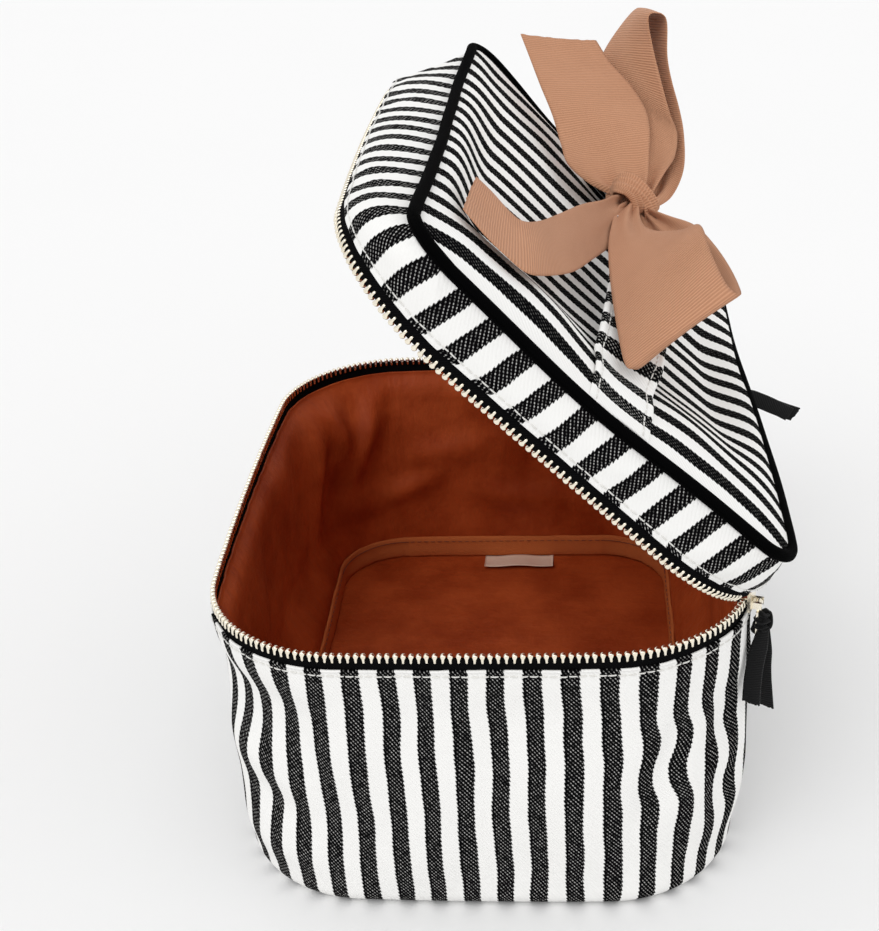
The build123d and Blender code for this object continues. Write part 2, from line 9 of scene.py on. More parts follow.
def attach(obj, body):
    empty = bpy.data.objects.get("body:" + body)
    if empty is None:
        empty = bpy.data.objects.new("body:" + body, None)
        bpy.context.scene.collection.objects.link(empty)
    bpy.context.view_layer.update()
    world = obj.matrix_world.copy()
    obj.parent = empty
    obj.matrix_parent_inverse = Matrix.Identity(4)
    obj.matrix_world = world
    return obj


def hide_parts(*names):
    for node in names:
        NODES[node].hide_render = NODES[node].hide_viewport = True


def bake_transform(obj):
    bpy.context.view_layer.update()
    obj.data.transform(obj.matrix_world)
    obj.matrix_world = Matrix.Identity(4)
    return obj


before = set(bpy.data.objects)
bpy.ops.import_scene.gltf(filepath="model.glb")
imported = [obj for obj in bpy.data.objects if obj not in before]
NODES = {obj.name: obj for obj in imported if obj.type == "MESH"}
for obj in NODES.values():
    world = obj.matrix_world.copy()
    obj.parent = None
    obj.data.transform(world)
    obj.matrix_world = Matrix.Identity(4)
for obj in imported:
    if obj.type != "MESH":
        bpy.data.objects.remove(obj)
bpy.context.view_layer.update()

# Lengths are in millimetres until a mesh is made. s is the distance round the rim
# from the middle of the back, first along the near side, z is the height, and depth
# is measured inwards from the outer face of the cloth.
MM = 0.001

RIM_Z = 118.0
HINGE_Y = 97.0
CORNER_R = 54.0
REST_ANGLE = math.radians(45.0)
BODY_CLOTH_TOP = 111.4
LID_CLOTH_BOTTOM = 124.6
WALL_HIGH = 110.0
WALL_FOOT = 0.4
WALL_TAPER = 5.0
TUCK_DEPTH, TUCK_HEIGHT = 5.5, 8.0
CLOTH_THICK = 1.0
BAND_LOW, BAND_HIGH = 126.0, 145.0
BAND_TOP = 145.6
TOP_FACE = 148.0
PIPING_Z, PIPING_R = 147.5, 2.15

# depths of the layers, from the outer face of the cloth
FOAM_IN, FOAM_OUT = 1.15, 4.05
LINING_IN, LINING_OUT = 4.25, 4.9
TAPE_IN, TAPE_OUT = 1.1, 2.0
LINING_TO_TAPE = LINING_IN - TAPE_OUT - 0.15

# heights of the layers, on the shut case
FOAM_FOOT, FOAM_TOP = 4.2, 104.6
LINING_TURN, LINING_TOP = 104.0, 110.6
BAND_FOAM_LOW, BAND_FOAM_HIGH = 131.4, 142.5
BAND_LINING_LOW, BAND_LINING_TURN, BAND_LINING_HIGH = 125.4, 132.0, 142.7
BASE_Z = 8.5

TOOTH_PITCH, TOOTH_SIZE = 2.7, 0.92
STITCH, THREAD_R = 3.3, 0.26
STRIPES_ROUND = 59
STRAP_Y = 4.0
RIBBON_W = 38.0


# ---- camera, light and floor ----
def add_camera():
    data = bpy.data.cameras.new("camera")
    camera = bpy.data.objects.new("camera", data)
    bpy.context.scene.collection.objects.link(camera)
    data.sensor_fit = "HORIZONTAL"
    data.sensor_width = 36.0
    data.lens = 63.78
    data.clip_end = 50.0
    forward = Vector((-0.88445, -0.08991, -0.45789))
    level = forward.to_track_quat("-Z", "Y").to_matrix().to_4x4()
    roll = Matrix.Rotation(-0.0601, 4, "Z")
    camera.matrix_world = Matrix.Translation((0.56163, 0.03864, 0.41441)) @ level @ roll
    bpy.context.scene.camera = camera


def add_sun(name, direction, strength, angle):
    data = bpy.data.lights.new(name, "SUN")
    data.energy = strength
    data.angle = math.radians(angle)
    lamp = bpy.data.objects.new(name, data)
    bpy.context.scene.collection.objects.link(lamp)
    lamp.rotation_euler = (-Vector(direction)).to_track_quat("-Z", "Y").to_euler()


def add_light():
    world = bpy.data.worlds.new("studio")
    world.use_nodes = True
    background = world.node_tree.nodes["Background"]
    background.inputs["Color"].default_value = (1.0, 1.0, 1.0, 1.0)
    background.inputs["Strength"].default_value = 0.85
    bpy.context.scene.world = world
    add_sun("key", (0.55, -0.30, 0.78), 0.78, 40.0)
    add_sun("fill", (0.45, 0.65, 0.60), 0.26, 70.0)
    bpy.context.scene.view_settings.view_transform = "Standard"
    bpy.context.scene.view_settings.look = "None"


# ---- node helpers ----
class Paint:
    """Builds one material's nodes: every method returns an output socket."""

    def __init__(self, name, roughness=0.8, **settings):
        self.material = bpy.data.materials.new(name)
        self.material.use_nodes = True
        self.tree = self.material.node_tree
        self.shader = self.tree.nodes["Principled BSDF"]
        self.set(Roughness=roughness, **settings)

    def set(self, **settings):
        for key, value in settings.items():
            self.shader.inputs[key.replace("_", " ")].default_value = value

    def node(self, kind, **settings):
        made = self.tree.nodes.new(kind)
        for key, value in settings.items():
            setattr(made, key, value)
        return made

    def feed(self, socket, value):
        if isinstance(value, bpy.types.NodeSocket):
            self.tree.links.new(value, socket)
        else:
            socket.default_value = value

    def math(self, operation, first, second=0.0, third=0.0):
        made = self.node("ShaderNodeMath", operation=operation)
        for socket, value in zip(made.inputs, (first, second, third)):
            self.feed(socket, value)
        return made.outputs[0]

    def mul(self, first, second):
        return self.math("MULTIPLY", first, second)

    def mad(self, value, factor, offset):
        """value * factor + offset"""
        return self.math("MULTIPLY_ADD", value, factor, offset)

    def uv(self):
        """The piece's own cloth coordinates, in millimetres, as u and v."""
        made = self.node("ShaderNodeUVMap", uv_map="cloth")
        parts = self.node("ShaderNodeSeparateXYZ")
        self.tree.links.new(made.outputs[0], parts.inputs[0])
        return parts.outputs[0], parts.outputs[1]

    def point(self, u, v, w=0.0):
        made = self.node("ShaderNodeCombineXYZ")
        for socket, value in zip(made.inputs, (u, v, w)):
            self.feed(socket, value)
        return made.outputs[0]

    def place(self):
        """Object coordinates, in metres."""
        return self.node("ShaderNodeTexCoord").outputs["Object"]

    def noise(self, where, scale, detail=2.0, roughness=0.5):
        made = self.node("ShaderNodeTexNoise")
        self.feed(made.inputs["Vector"], where)
        made.inputs["Scale"].default_value = scale
        made.inputs["Detail"].default_value = detail
        made.inputs["Roughness"].default_value = roughness
        return made.outputs["Fac"]

    def ramp(self, value, low, high):
        """0 below low, 1 above high, smooth between."""
        made = self.node("ShaderNodeMapRange", interpolation_type="SMOOTHSTEP")
        self.feed(made.inputs["Value"], value)
        self.feed(made.inputs["From Min"], low)
        self.feed(made.inputs["From Max"], high)
        return made.outputs[0]

    def mix(self, factor, first, second):
        made = self.node("ShaderNodeMix", data_type="RGBA")
        self.feed(made.inputs[0], factor)
        self.feed(made.inputs[6], first)
        self.feed(made.inputs[7], second)
        return made.outputs[2]

    def wave(self, value, pitch):
        """A cosine from 0 to 1 with that pitch."""
        turn = self.mul(value, 2 * math.pi / pitch)
        return self.mad(self.math("COSINE", turn), 0.5, 0.5)

    def saw(self, value, pitch):
        return self.math("FRACT", self.math("DIVIDE", value, pitch))

    def finish(self, colour=None, bumps=(), roughness=None):
        """bumps are (height socket, depth in millimetres) pairs."""
        if colour is not None:
            self.feed(self.shader.inputs["Base Color"], colour)
        if roughness is not None:
            self.feed(self.shader.inputs["Roughness"], roughness)
        normal = None
        for height, depth in bumps:
            bump = self.node("ShaderNodeBump")
            bump.inputs["Strength"].default_value = 1.0
            bump.inputs["Distance"].default_value = depth * MM
            self.feed(bump.inputs["Height"], height)
            if normal is not None:
                self.feed(bump.inputs["Normal"], normal)
            normal = bump.outputs[0]
        if normal is not None:
            self.feed(self.shader.inputs["Normal"], normal)
        return self.material


def rgb(red, green, blue):
    return (red, green, blue, 1.0)


# ---- the outline shared by every layer ----
def plan(half_x, half_y, side_bow, front_bow, corner_r):
    """Circles of a plan with a straight back and bowed front and sides."""
    side_r = (half_y**2 + side_bow**2) / (2 * side_bow)
    side_x = half_x - side_r
    front_r = (half_x**2 + front_bow**2) / (2 * front_bow)
    front_y = front_r - half_y
    back_y = half_y - corner_r
    back_x = side_x + math.sqrt((side_r - corner_r) ** 2 - back_y**2)
    reach_side = side_r - corner_r
    reach_front = front_r - corner_r
    span = math.hypot(side_x, front_y)
    along = (reach_side**2 - reach_front**2 + span**2) / (2 * span)
    off = math.sqrt(reach_side**2 - along**2)
    ux, uy = -side_x / span, front_y / span
    corner_x = side_x + along * ux + off * uy
    corner_y = along * uy - off * ux
    front_end = math.atan2(corner_y - front_y, corner_x)
    side_start = math.atan2(corner_y, corner_x - side_x)
    side_end = math.atan2(back_y, back_x - side_x)
    quarter = math.pi / 2
    arcs = [
        (back_x, back_y, corner_r, quarter, side_end),
        (side_x, 0.0, side_r, side_end, side_start),
        (corner_x, corner_y, corner_r, side_start, front_end),
        (0.0, front_y, front_r, front_end, -quarter),
    ]
    return {"back": (back_x, half_y), "arcs": arcs}


BODY = plan(128.0, 100.0, 3.0, 4.0, CORNER_R)
TOP = plan(128.5, 83.0, 3.0, 0.5, 17.0)
BASE = plan(115.0, 79.5, 1.0, 1.0, 31.0)
BASE_SHIFT = -2.5
STEP = 1.35
ARC_LENGTHS = [abs(b - a) * r for _, _, r, a, b in BODY["arcs"]]
COUNTS = [max(4, round(length / STEP)) for length in ARC_LENGTHS]
BACK_COUNT = round(BODY["back"][0] / STEP)


def half_ring(shape):
    """Points and outward normals from the middle of the back to the middle of the front."""
    back_x, back_y = shape["back"]
    x = np.arange(BACK_COUNT) / BACK_COUNT * back_x
    points = [np.stack([x, np.full_like(x, back_y)], -1)]
    normals = [np.tile([0.0, 1.0], (BACK_COUNT, 1))]
    for (cx, cy, r, first, last), count in zip(shape["arcs"], COUNTS):
        angle = first + (last - first) * np.arange(count) / count
        way = np.stack([np.cos(angle), np.sin(angle)], -1)
        points.append(np.array([cx, cy]) + way * r)
        normals.append(way)
    cx, cy, r, _, last = shape["arcs"][-1]
    points.append(np.array([[cx, cy - r]]))
    normals.append(np.array([[0.0, -1.0]]))
    return np.concatenate(points), np.concatenate(normals)


def ring(shape, inset=0.0):
    """The whole outline: inset is a number or one value for each point."""
    points, normals = half_ring(shape)
    mirror = np.array([-1.0, 1.0])
    points = np.concatenate([points, points[-2:0:-1] * mirror])
    normals = np.concatenate([normals, normals[-2:0:-1] * mirror])
    inset = np.asarray(inset, float)
    return points - normals * (inset[:, None] if inset.ndim else inset), normals


RIM, RIM_NORMAL = ring(BODY)
STEPS = np.linalg.norm(np.roll(RIM, -1, 0) - RIM, axis=1)
S = np.concatenate([[0.0], np.cumsum(STEPS)])
PERIMETER = S[-1]
PITCH = PERIMETER / STRIPES_ROUND
S_RING = S[:-1]


def unit(vectors):
    return vectors / np.linalg.norm(vectors, axis=-1, keepdims=True)


def distances(line):
    """How far along a line of points each point is."""
    return np.concatenate([[0], np.cumsum(np.linalg.norm(np.diff(line, axis=0), axis=1))])


def flat3(xy, z):
    return np.concatenate([xy, np.broadcast_to(np.asarray(z, float), (len(xy),))[:, None]], -1)


def rim_value(values, s):
    """values at the ring's points, read at any distance s."""
    s = np.mod(s, PERIMETER)
    closed = np.concatenate([values, values[:1]])
    if closed.ndim == 1:
        return np.interp(s, S, closed)
    return np.stack([np.interp(s, S, closed[:, k]) for k in range(closed.shape[1])], -1)


# ---- smooth random waves ----
def waves(u, v, size_u, size_v, seed, wrap=None):
    """Random waves between -1 and 1. wrap is the length after which u repeats."""
    u, v = np.broadcast_arrays(np.asarray(u, float), np.asarray(v, float))
    cells = max(3, round(wrap / size_u)) if wrap else 64
    a = u * (cells / wrap if wrap else 1.0 / size_u)
    b = v / size_v
    table = np.random.default_rng(seed).uniform(-1.0, 1.0, (64, cells))
    ia, ib = np.floor(a).astype(int), np.floor(b).astype(int)
    fa, fb = a - ia, b - ib
    fa, fb = fa**3 * (fa * (6 * fa - 15) + 10), fb**3 * (fb * (6 * fb - 15) + 10)

    def cell(i, j):
        return table[np.mod(j, 64), np.mod(i, cells)]

    low = cell(ia, ib) * (1 - fa) + cell(ia + 1, ib) * fa
    high = cell(ia, ib + 1) * (1 - fa) + cell(ia + 1, ib + 1) * fa
    return low * (1 - fb) + high * fb


def ease(value, low, high):
    t = np.clip((np.asarray(value, float) - low) / (high - low), 0.0, 1.0)
    return t * t * (3 - 2 * t)


def mound(s, z, where, size, height, lean=0.0):
    """A smooth swelling of the cloth; a crease is one that is long and narrow."""
    ds = np.mod(s - where[0] + PERIMETER / 2, PERIMETER) - PERIMETER / 2
    dz = z - where[1]
    ds = ds - lean * dz
    return height * np.exp(-((ds / size[0]) ** 2) - (dz / size[1]) ** 2)


NEAR_SIDE = S[BACK_COUNT + COUNTS[0]] + ARC_LENGTHS[1] / 2
FRONT_CORNER = NEAR_SIDE + ARC_LENGTHS[1] / 2 + ARC_LENGTHS[2] / 2
BACK_CORNER = NEAR_SIDE - ARC_LENGTHS[1] / 2 - ARC_LENGTHS[0] / 2
FRONT = PERIMETER / 2
FAR_CORNER = PERIMETER - FRONT_CORNER
FAR_SIDE = PERIMETER - NEAR_SIDE

# where (from the back, height), size (along, up), height of each swelling, lean
WALL_SHAPES = (
    ((FRONT_CORNER + 2, 86.0), (30.0, 20.0), -4.6, 0.0),
    ((FRONT_CORNER - 6, 44.0), (16.0, 9.0), -2.8, 0.4),
    ((FRONT_CORNER + 8, 62.0), (20.0, 10.0), 1.8, -0.3),
    ((FRONT_CORNER, 18.0), (30.0, 13.0), 3.2, 0.0),
    ((FRONT_CORNER - 30, 60.0), (9.0, 34.0), -1.5, 0.35),
    ((NEAR_SIDE + 24, 50.0), (18.0, 36.0), 1.6, 0.2),
    ((NEAR_SIDE - 4, 66.0), (10.0, 40.0), -1.2, -0.25),
    ((NEAR_SIDE - 32, 44.0), (14.0, 30.0), 1.3, 0.15),
    ((BACK_CORNER + 22, 60.0), (7.0, 26.0), -2.6, -0.35),
    ((BACK_CORNER + 6, 40.0), (9.0, 20.0), 2.0, 0.3),
    ((BACK_CORNER - 8, 74.0), (8.0, 20.0), -2.2, 0.4),
    ((BACK_CORNER - 24, 40.0), (12.0, 22.0), 1.6, 0.0),
)


def wall_wave(s, z):
    """How far the case's wall swells out, the same for the cloth, foam and lining."""
    hold = ease(z, 2.0, 26.0) * (1 - 0.9 * ease(z, 88.0, 109.0))
    swell = 1.7 * waves(s, z, 46.0, 52.0, 11, PERIMETER)
    swell += 0.7 * waves(s + 0.3 * z, z, 21.0, 40.0, 12, PERIMETER)
    swell += 0.35 * waves(s - 0.4 * z, z, 10.0, 26.0, 13, PERIMETER)
    for where, size, height, lean in WALL_SHAPES:
        swell = swell + mound(s, z, where, size, height, lean)
        mirrored = (PERIMETER - where[0], where[1])
        swell = swell + mound(s, z, mirrored, size, 0.8 * height, -lean)
    pucker = 0.28 * waves(s, z, 6.0, 30.0, 14, PERIMETER) * ease(z, 84.0, 106.0)
    return hold * swell + pucker


def wall_inset(z):
    z = np.asarray(z, float)
    lean = WALL_TAPER * (1 - np.clip(z, 0, WALL_HIGH) / WALL_HIGH)
    under = TUCK_DEPTH * np.clip(1 - z / TUCK_HEIGHT, 0.0, 1.0) ** 2.2
    return lean + under


def band_wave(s, t):
    """How far the lid's band swells out; t runs from the zipper (0) to the piping (1)."""
    front = np.exp(-(((s - PERIMETER / 2) / 120.0) ** 4))
    round_out = (0.9 + 2.4 * front) * np.sin(math.pi * np.clip(t, 0, 1))
    swell = 0.8 * waves(s, 30 * t, 26.0, 24.0, 21, PERIMETER)
    swell += 0.35 * waves(s, 30 * t, 9.0, 20.0, 22, PERIMETER)
    pucker = 0.25 * waves(s, 30 * t, 5.0, 60.0, 23, PERIMETER)
    slack = 8.0 * np.exp(-(((s - FAR_CORNER) / 40.0) ** 2))
    return round_out + (swell - slack) * np.sin(math.pi * np.clip(t, 0, 1)) + pucker


# ---- making meshes ----
def opened(points):
    """Turns points laid out on the shut lid to where the open lid has them."""
    points = np.asarray(points, float)
    y = points[..., 1] - HINGE_Y
    z = points[..., 2] - RIM_Z
    c, s = math.cos(REST_ANGLE), math.sin(REST_ANGLE)
    turned = np.stack([points[..., 0], y * c + z * s + HINGE_Y, z * c - y * s + RIM_Z], -1)
    return turned


def placed(name, mesh, material, body, replaced=()):
    mesh.materials.append(material)
    obj = bpy.data.objects.new(name, mesh)
    bpy.context.scene.collection.objects.link(obj)
    if body:
        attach(obj, body)
    if replaced:
        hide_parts(*replaced)
    return obj


def build(name, points, faces, uvs, material, body, slot, replaced=(), weld=False):
    """One mesh object: points in mm, faces as index rows, uvs one pair for each corner."""
    mesh = bpy.data.meshes.new(name)
    faces = np.asarray(faces, int)
    mesh.vertices.add(len(points))
    mesh.vertices.foreach_set("co", (np.asarray(points, float) * MM).ravel())
    mesh.loops.add(faces.size)
    mesh.loops.foreach_set("vertex_index", faces.ravel())
    mesh.polygons.add(len(faces))
    mesh.polygons.foreach_set("loop_start", np.arange(len(faces)) * faces.shape[1])
    mesh.polygons.foreach_set("use_smooth", np.ones(len(faces), bool))
    layer = mesh.uv_layers.new(name="cloth")
    layer.data.foreach_set("uv", np.asarray(uvs, float).reshape(-1, 2).ravel())
    mesh.update(calc_edges=True)
    if weld:
        work = bmesh.new()
        work.from_mesh(mesh)
        bmesh.ops.remove_doubles(work, verts=work.verts, dist=1e-6)
        work.to_mesh(mesh)
        work.free()
    mesh.validate()
    return placed(name, mesh, material, body, replaced)


def case_piece(name, parts, material, slot, *replaced):
    return build(name, *parts, material, "case", slot, replaced)


def lid_piece(name, parts, material, slot, *replaced):
    """A piece that is laid out over the shut lid, turned to where the open lid has it."""
    points, faces, uvs = parts
    return build(name, opened(points), faces, uvs, material, "lid", slot, replaced)


def grid(points, u, v, wrap_rows=False, wrap_columns=False, wrap_u=0.0):
    """Quads over a grid of points (rows, columns, 3), with u and v of the same shape.
    A grid that wraps only its rows is a flattened tube: its two ends are sewn shut."""
    rows, columns = points.shape[:2]
    i = np.arange(rows if wrap_rows else rows - 1)[:, None]
    j = np.arange(columns if wrap_columns else columns - 1)[None, :]
    ends = [(i, j), (i, j + 1), (i + 1, j + 1), (i + 1, j)]
    faces = np.stack([(a % rows) * columns + b % columns + 0 * (i + j) for a, b in ends], -1)
    u = np.broadcast_to(u, (rows, columns))
    v = np.broadcast_to(v, (rows, columns))
    uvs = []
    for a, b in ends:
        over = wrap_u * (b >= columns)
        u_here = u[a % rows, b % columns] + over
        v_here = v[a % rows, b % columns] + 0.0 * over
        uvs.append(np.stack([u_here, v_here], -1))
    faces, uvs = faces.reshape(-1, 4), np.stack(uvs, -2).reshape(-1, 4, 2)
    if wrap_rows and not wrap_columns:
        k = np.arange(rows // 2 - 1)
        corners = np.stack([k, k + 1, rows - 2 - k, rows - 1 - k], -1)
        start, end = corners * columns, corners * columns + columns - 1
        cloth = np.stack([u, v], -1).reshape(-1, 2)
        faces = np.concatenate([faces, start[:, ::-1], end])
        uvs = np.concatenate([uvs, cloth[start[:, ::-1]], cloth[end]])
    return points.reshape(-1, 3), faces, uvs.reshape(-1, 2)


def joined(parts):
    """Several (points, faces, uvs) as one."""
    points, faces, uvs, base = [], [], [], 0
    for p, f, w in parts:
        points.append(p)
        faces.append(f + base)
        uvs.append(w)
        base += len(p)
    return np.concatenate(points), np.concatenate(faces), np.concatenate(uvs)


def stamped(shape, places, across, along, up):
    """Copies of one small (points, faces) shape, each turned to its own three axes."""
    points, faces = shape
    count = len(places)
    turned = (
        points[None, :, 0, None] * across[:, None, :]
        + points[None, :, 1, None] * along[:, None, :]
        + points[None, :, 2, None] * up[:, None, :]
        + places[:, None, :]
    )
    base = (np.arange(count) * len(points))[:, None, None]
    many = (faces[None] + base).reshape(-1, faces.shape[1])
    flat = np.broadcast_to(points[None, :, 1:], (count, len(points), 2)).reshape(-1, 2)
    return turned.reshape(-1, 3), many, flat[many].reshape(-1, 2)


def wall_points(s_index, depth, z, extra=0.0):
    """Points of the wall: rows of (depth, z), all round or at some ring indices."""
    depth = np.asarray(depth, float)[:, None]
    z = np.asarray(z, float)[:, None]
    s = S_RING[None, s_index]
    inset = wall_inset(z) + depth - wall_wave(s, z) + extra
    xy = RIM[None, s_index] - RIM_NORMAL[None, s_index] * inset[..., None]
    return np.concatenate([xy, np.broadcast_to(z, inset.shape)[..., None]], -1)


ALL = slice(None)
CORNER_OUT, FAR_IN, BACK_IN = 1.3, 2.0, 9.0
SAG_EVEN, SAG_MIDDLE, FAR_CORNER_RISE = 0.6, 2.4, 4.0


def piping_shift(x, y):
    """The soft lid isn't true: its near front corner stands out and its back draws in."""
    front = ease(-y, 60.0, 83.0)
    back = ease(y, 60.0, 83.0)
    near_corner = np.exp(-(((x - 108.0) / 26.0) ** 2))
    out = front * (CORNER_OUT * near_corner - FAR_IN * (1 - ease(x, 10.0, 80.0)))
    return out - BACK_IN * back * ease(-x, -80.0, 60.0)


def piping_sag(x, y):
    """How far the piping hangs below the lid's plane at the ends; its far corner is raised."""
    side = ease(np.abs(x), 100.0, 124.0)
    middle = np.exp(-(((y + 8.0) / 40.0) ** 2))
    far_corner = ease(-x, 50.0, 118.0) * ease(-y, 20.0, 78.0)
    return side * (SAG_EVEN + SAG_MIDDLE * middle) - FAR_CORNER_RISE * far_corner


def top_edge(inset=0.0):
    points, normals = ring(TOP, inset)
    way = np.stack([0.0 * points[:, 1], np.sign(points[:, 1])], -1)
    return points + way * piping_shift(points[:, 0], points[:, 1])[:, None], normals


def base_edge(inset=0.0):
    """The base stands a little nearer the far end."""
    points, normals = ring(BASE, inset)
    return points + np.array([BASE_SHIFT, 0.0]), normals


TOP_RING, TOP_NORMAL = top_edge()


def band_points(depth, z, extra=0.0, s_index=ALL):
    """Points of the lid's band: rows of (depth, z) between the rim and the piping."""
    depth = np.asarray(depth, float)[:, None]
    z = np.asarray(z, float)[:, None]
    t = (z - BAND_LOW) / (BAND_HIGH - BAND_LOW)
    s = S_RING[None, s_index]
    rim = RIM[None, s_index]
    normal = RIM_NORMAL[None, s_index]
    blend = np.clip(t, 0.0, 1.2)[..., None]
    xy = rim * (1 - blend) + TOP_RING[None, s_index] * blend
    normal = normal * (1 - blend) + TOP_NORMAL[None, s_index] * blend
    xy = xy - unit(normal) * (depth - band_wave(s, t) + extra)[..., None]
    drop = piping_sag(TOP_RING[s_index, 0], TOP_RING[s_index, 1])[None] * blend[..., 0]
    return np.concatenate([xy, (z - drop)[..., None]], -1)


def soft_edge(depth_out, depth_in, top, way):
    """Depths and heights that roll a folded edge over, from the outside to the inside."""
    middle = (depth_out + depth_in) / 2
    half = (depth_in - depth_out) / 2 + 0.12
    angle = np.linspace(math.pi, 0.0, 7)
    return middle + half * np.cos(angle), top + way * (half * np.sin(angle) - half)


# ---- outline-shaped panels ----
def panel(edge, z_at, rings=46, extra=0.0):
    """A sheet inside an edge: rings that shrink to the middle."""
    share = 1 - (np.arange(rings) / rings) ** 1.15
    share = np.concatenate([share, [0.0]])[:, None, None]
    xy = edge[None] * share
    z = z_at(xy[..., 0], xy[..., 1])
    return np.concatenate([xy, z[..., None] + extra], -1)


def slab(top, bottom):
    """A closed sheet from two panels with the same grid, top rings first."""
    return np.concatenate([top[::-1], bottom])


def edge_distance(x, y, half_x=126.0, half_y=83.0, corner=20.0):
    """How far inside a rounded rectangle a point lies."""
    qx = np.abs(x) - (half_x - corner)
    qy = np.abs(y) - (half_y - corner)
    outside = np.hypot(np.maximum(qx, 0), np.maximum(qy, 0))
    return corner - outside - np.minimum(np.maximum(qx, qy), 0)


PUFF, FALL, RISE, HELD = 3.7, 8.8, 8.5, 4.0


def top_height(x, y):
    """The lid's soft top: puffed inside the piping, sagging away from the near ridge
    to the middle, rising again to the far end, and held down by the strap's ends."""
    d = edge_distance(x, y)
    t = np.clip(d / 24.0, 0.0, 1.0)
    inner = ease(d, 5.0, 27.0)
    crown = PUFF * (1 - (1 - t) ** 2.0) - piping_sag(x, y) * (1 - ease(d, 0.0, 20.0))
    turn = ease(y, -10.0, 80.0)
    fall = FALL * (1 - ease(x, 58.0 - 34.0 * turn, 98.0))
    rise = RISE * ease(-x, -8.0, 120.0)
    held = HELD * np.exp(-(((y - STRAP_Y) / 22.0) ** 2)) * ease(np.abs(x), 62.0, 92.0)
    crown = crown + inner * (rise - fall) - held * ease(d, 2.0, 14.0)
    crown = crown + 0.6 * waves(x + 200, y + 200, 44.0, 38.0, 31) * t
    crown = crown + 0.35 * waves(x + 200, y + 200, 17.0, 21.0, 32) * t
    return TOP_FACE - 0.6 + crown


# ---- materials ----
def twill(name, flecks_seen=1.0):
    """Cotton twill with woven black and white stripes. Stripes run along v."""
    p = Paint(name, 0.9, Specular_IOR_Level=0.0)
    u, v = p.uv()
    where = p.point(u, v)
    drift = p.noise(where, 0.035, 1.0)
    u = p.mad(drift, 3.0, p.math("SUBTRACT", u, 1.5))
    across = p.saw(u, PITCH)
    # diagonal ribs of the weave run up to the right, crossed by fainter ones
    slope = math.radians(52)
    diagonal = p.mul(u, math.sin(slope))
    diagonal = p.mad(v, -math.cos(slope), diagonal)
    run = p.mul(u, math.cos(slope))
    run = p.mad(v, math.sin(slope), run)
    wobble = p.noise(where, 0.5, 2.0)
    diagonal = p.mad(wobble, 0.4, diagonal)
    rib = p.wave(diagonal, 1.2)
    cross = p.wave(run, 1.3)
    # the stripe's edges step in and out with the ribs
    step = p.mad(rib, 0.035, -0.0175)
    ragged = p.mad(p.noise(where, 1.4, 2.0), 0.05, -0.025)
    across = p.math("ADD", across, p.math("ADD", step, ragged))
    rise = p.ramp(across, 0.02, 0.05)
    fall = p.ramp(across, 0.515, 0.545)
    black = p.math("SUBTRACT", rise, fall)
    # pale weft shows between the black ribs as broken flecks
    patch = p.noise(p.point(p.mul(run, 0.45), diagonal), 0.9, 2.0, 0.6)
    broken = p.ramp(patch, 0.34, 0.62)
    thin = p.ramp(p.mul(rib, p.mad(cross, 0.35, 0.65)), 0.62, 0.90)
    fleck = p.mul(thin, p.mad(broken, 0.72 * flecks_seen, 0.08 * flecks_seen))
    near_side = p.ramp(across, 0.06, 0.11)
    far_side = p.math("SUBTRACT", 1.0, p.ramp(across, 0.45, 0.50))
    fleck = p.mul(fleck, p.mul(near_side, far_side))
    mottle = p.noise(where, 0.18, 3.0)
    ink = p.mix(mottle, rgb(0.0015, 0.0015, 0.0018), rgb(0.004, 0.004, 0.0045))
    ink = p.mix(fleck, ink, rgb(0.60, 0.59, 0.57))
    thread = p.noise(where, 2.2, 2.0)
    tone = p.mad(rib, 0.18, p.mul(thread, 0.55))
    pale = p.mix(tone, rgb(0.86, 0.853, 0.832), rgb(0.91, 0.906, 0.895))
    fuzz = p.ramp(p.noise(where, 0.9, 3.0), 0.66, 0.80)
    pale = p.mix(p.mul(fuzz, 0.1), pale, rgb(0.74, 0.72, 0.68))
    yarn = p.noise(where, 3.2, 2.0)
    return p.finish(p.mix(black, pale, ink), [(rib, 0.07), (yarn, 0.05), (mottle, 0.2)])


def nylon(name, base, light, crease=1.0):
    """Smooth lining cloth: a soft shine, fine plain weave and small creases."""
    p = Paint(name, 0.6, Specular_IOR_Level=0.12)
    u, v = p.uv()
    where = p.point(u, v)
    patch = p.noise(where, 0.03, 4.0, 0.6)
    colour = p.mix(p.ramp(patch, 0.3, 0.7), base, light)
    weave = p.mul(p.wave(u, 0.55), p.wave(v, 0.55))
    small = p.noise(p.point(p.mul(u, 1.0), p.mul(v, 0.35)), 0.12, 4.0, 0.55)
    fine = p.noise(where, 0.35, 3.0, 0.5)
    rough = p.mad(fine, 0.18, 0.40)
    bumps = [(weave, 0.035), (small, 0.9 * crease), (fine, 0.25 * crease)]
    return p.finish(colour, bumps, rough)


def ribbed(name, base, light, pitch, depth, rib_shade=0.5, gloss=0.62):
    """Grosgrain ribbon: fine ribs run across it, so they repeat along u. Its colour carries painted shade:
    broad light and dark patches stand in for the light over its folds, and each rib has a painted highlight
    on its crest and painted shade in its hollow.
    """
    p = Paint(name, gloss, Sheen_Weight=0.06, Sheen_Roughness=0.4, Specular_IOR_Level=0.12)
    u, v = p.uv()
    where = p.point(u, v)
    rib = p.wave(p.mad(p.noise(where, 0.25, 1.0), 0.15, u), pitch)
    # painted shade: broad noise lightens and darkens the ribbon in patches, and the rib term paints the
    # crests lighter and the hollows darker, as light would
    broad = p.noise(where, 0.05, 3.0)
    tone = p.mad(broad, 0.45, p.mul(rib, rib_shade))
    colour = p.mix(tone, base, light)
    warp = p.wave(v, 0.42)
    bumps = [(rib, depth), (warp, 0.03), (p.noise(where, 1.5, 2.0), 0.05)]
    return p.finish(colour, bumps)


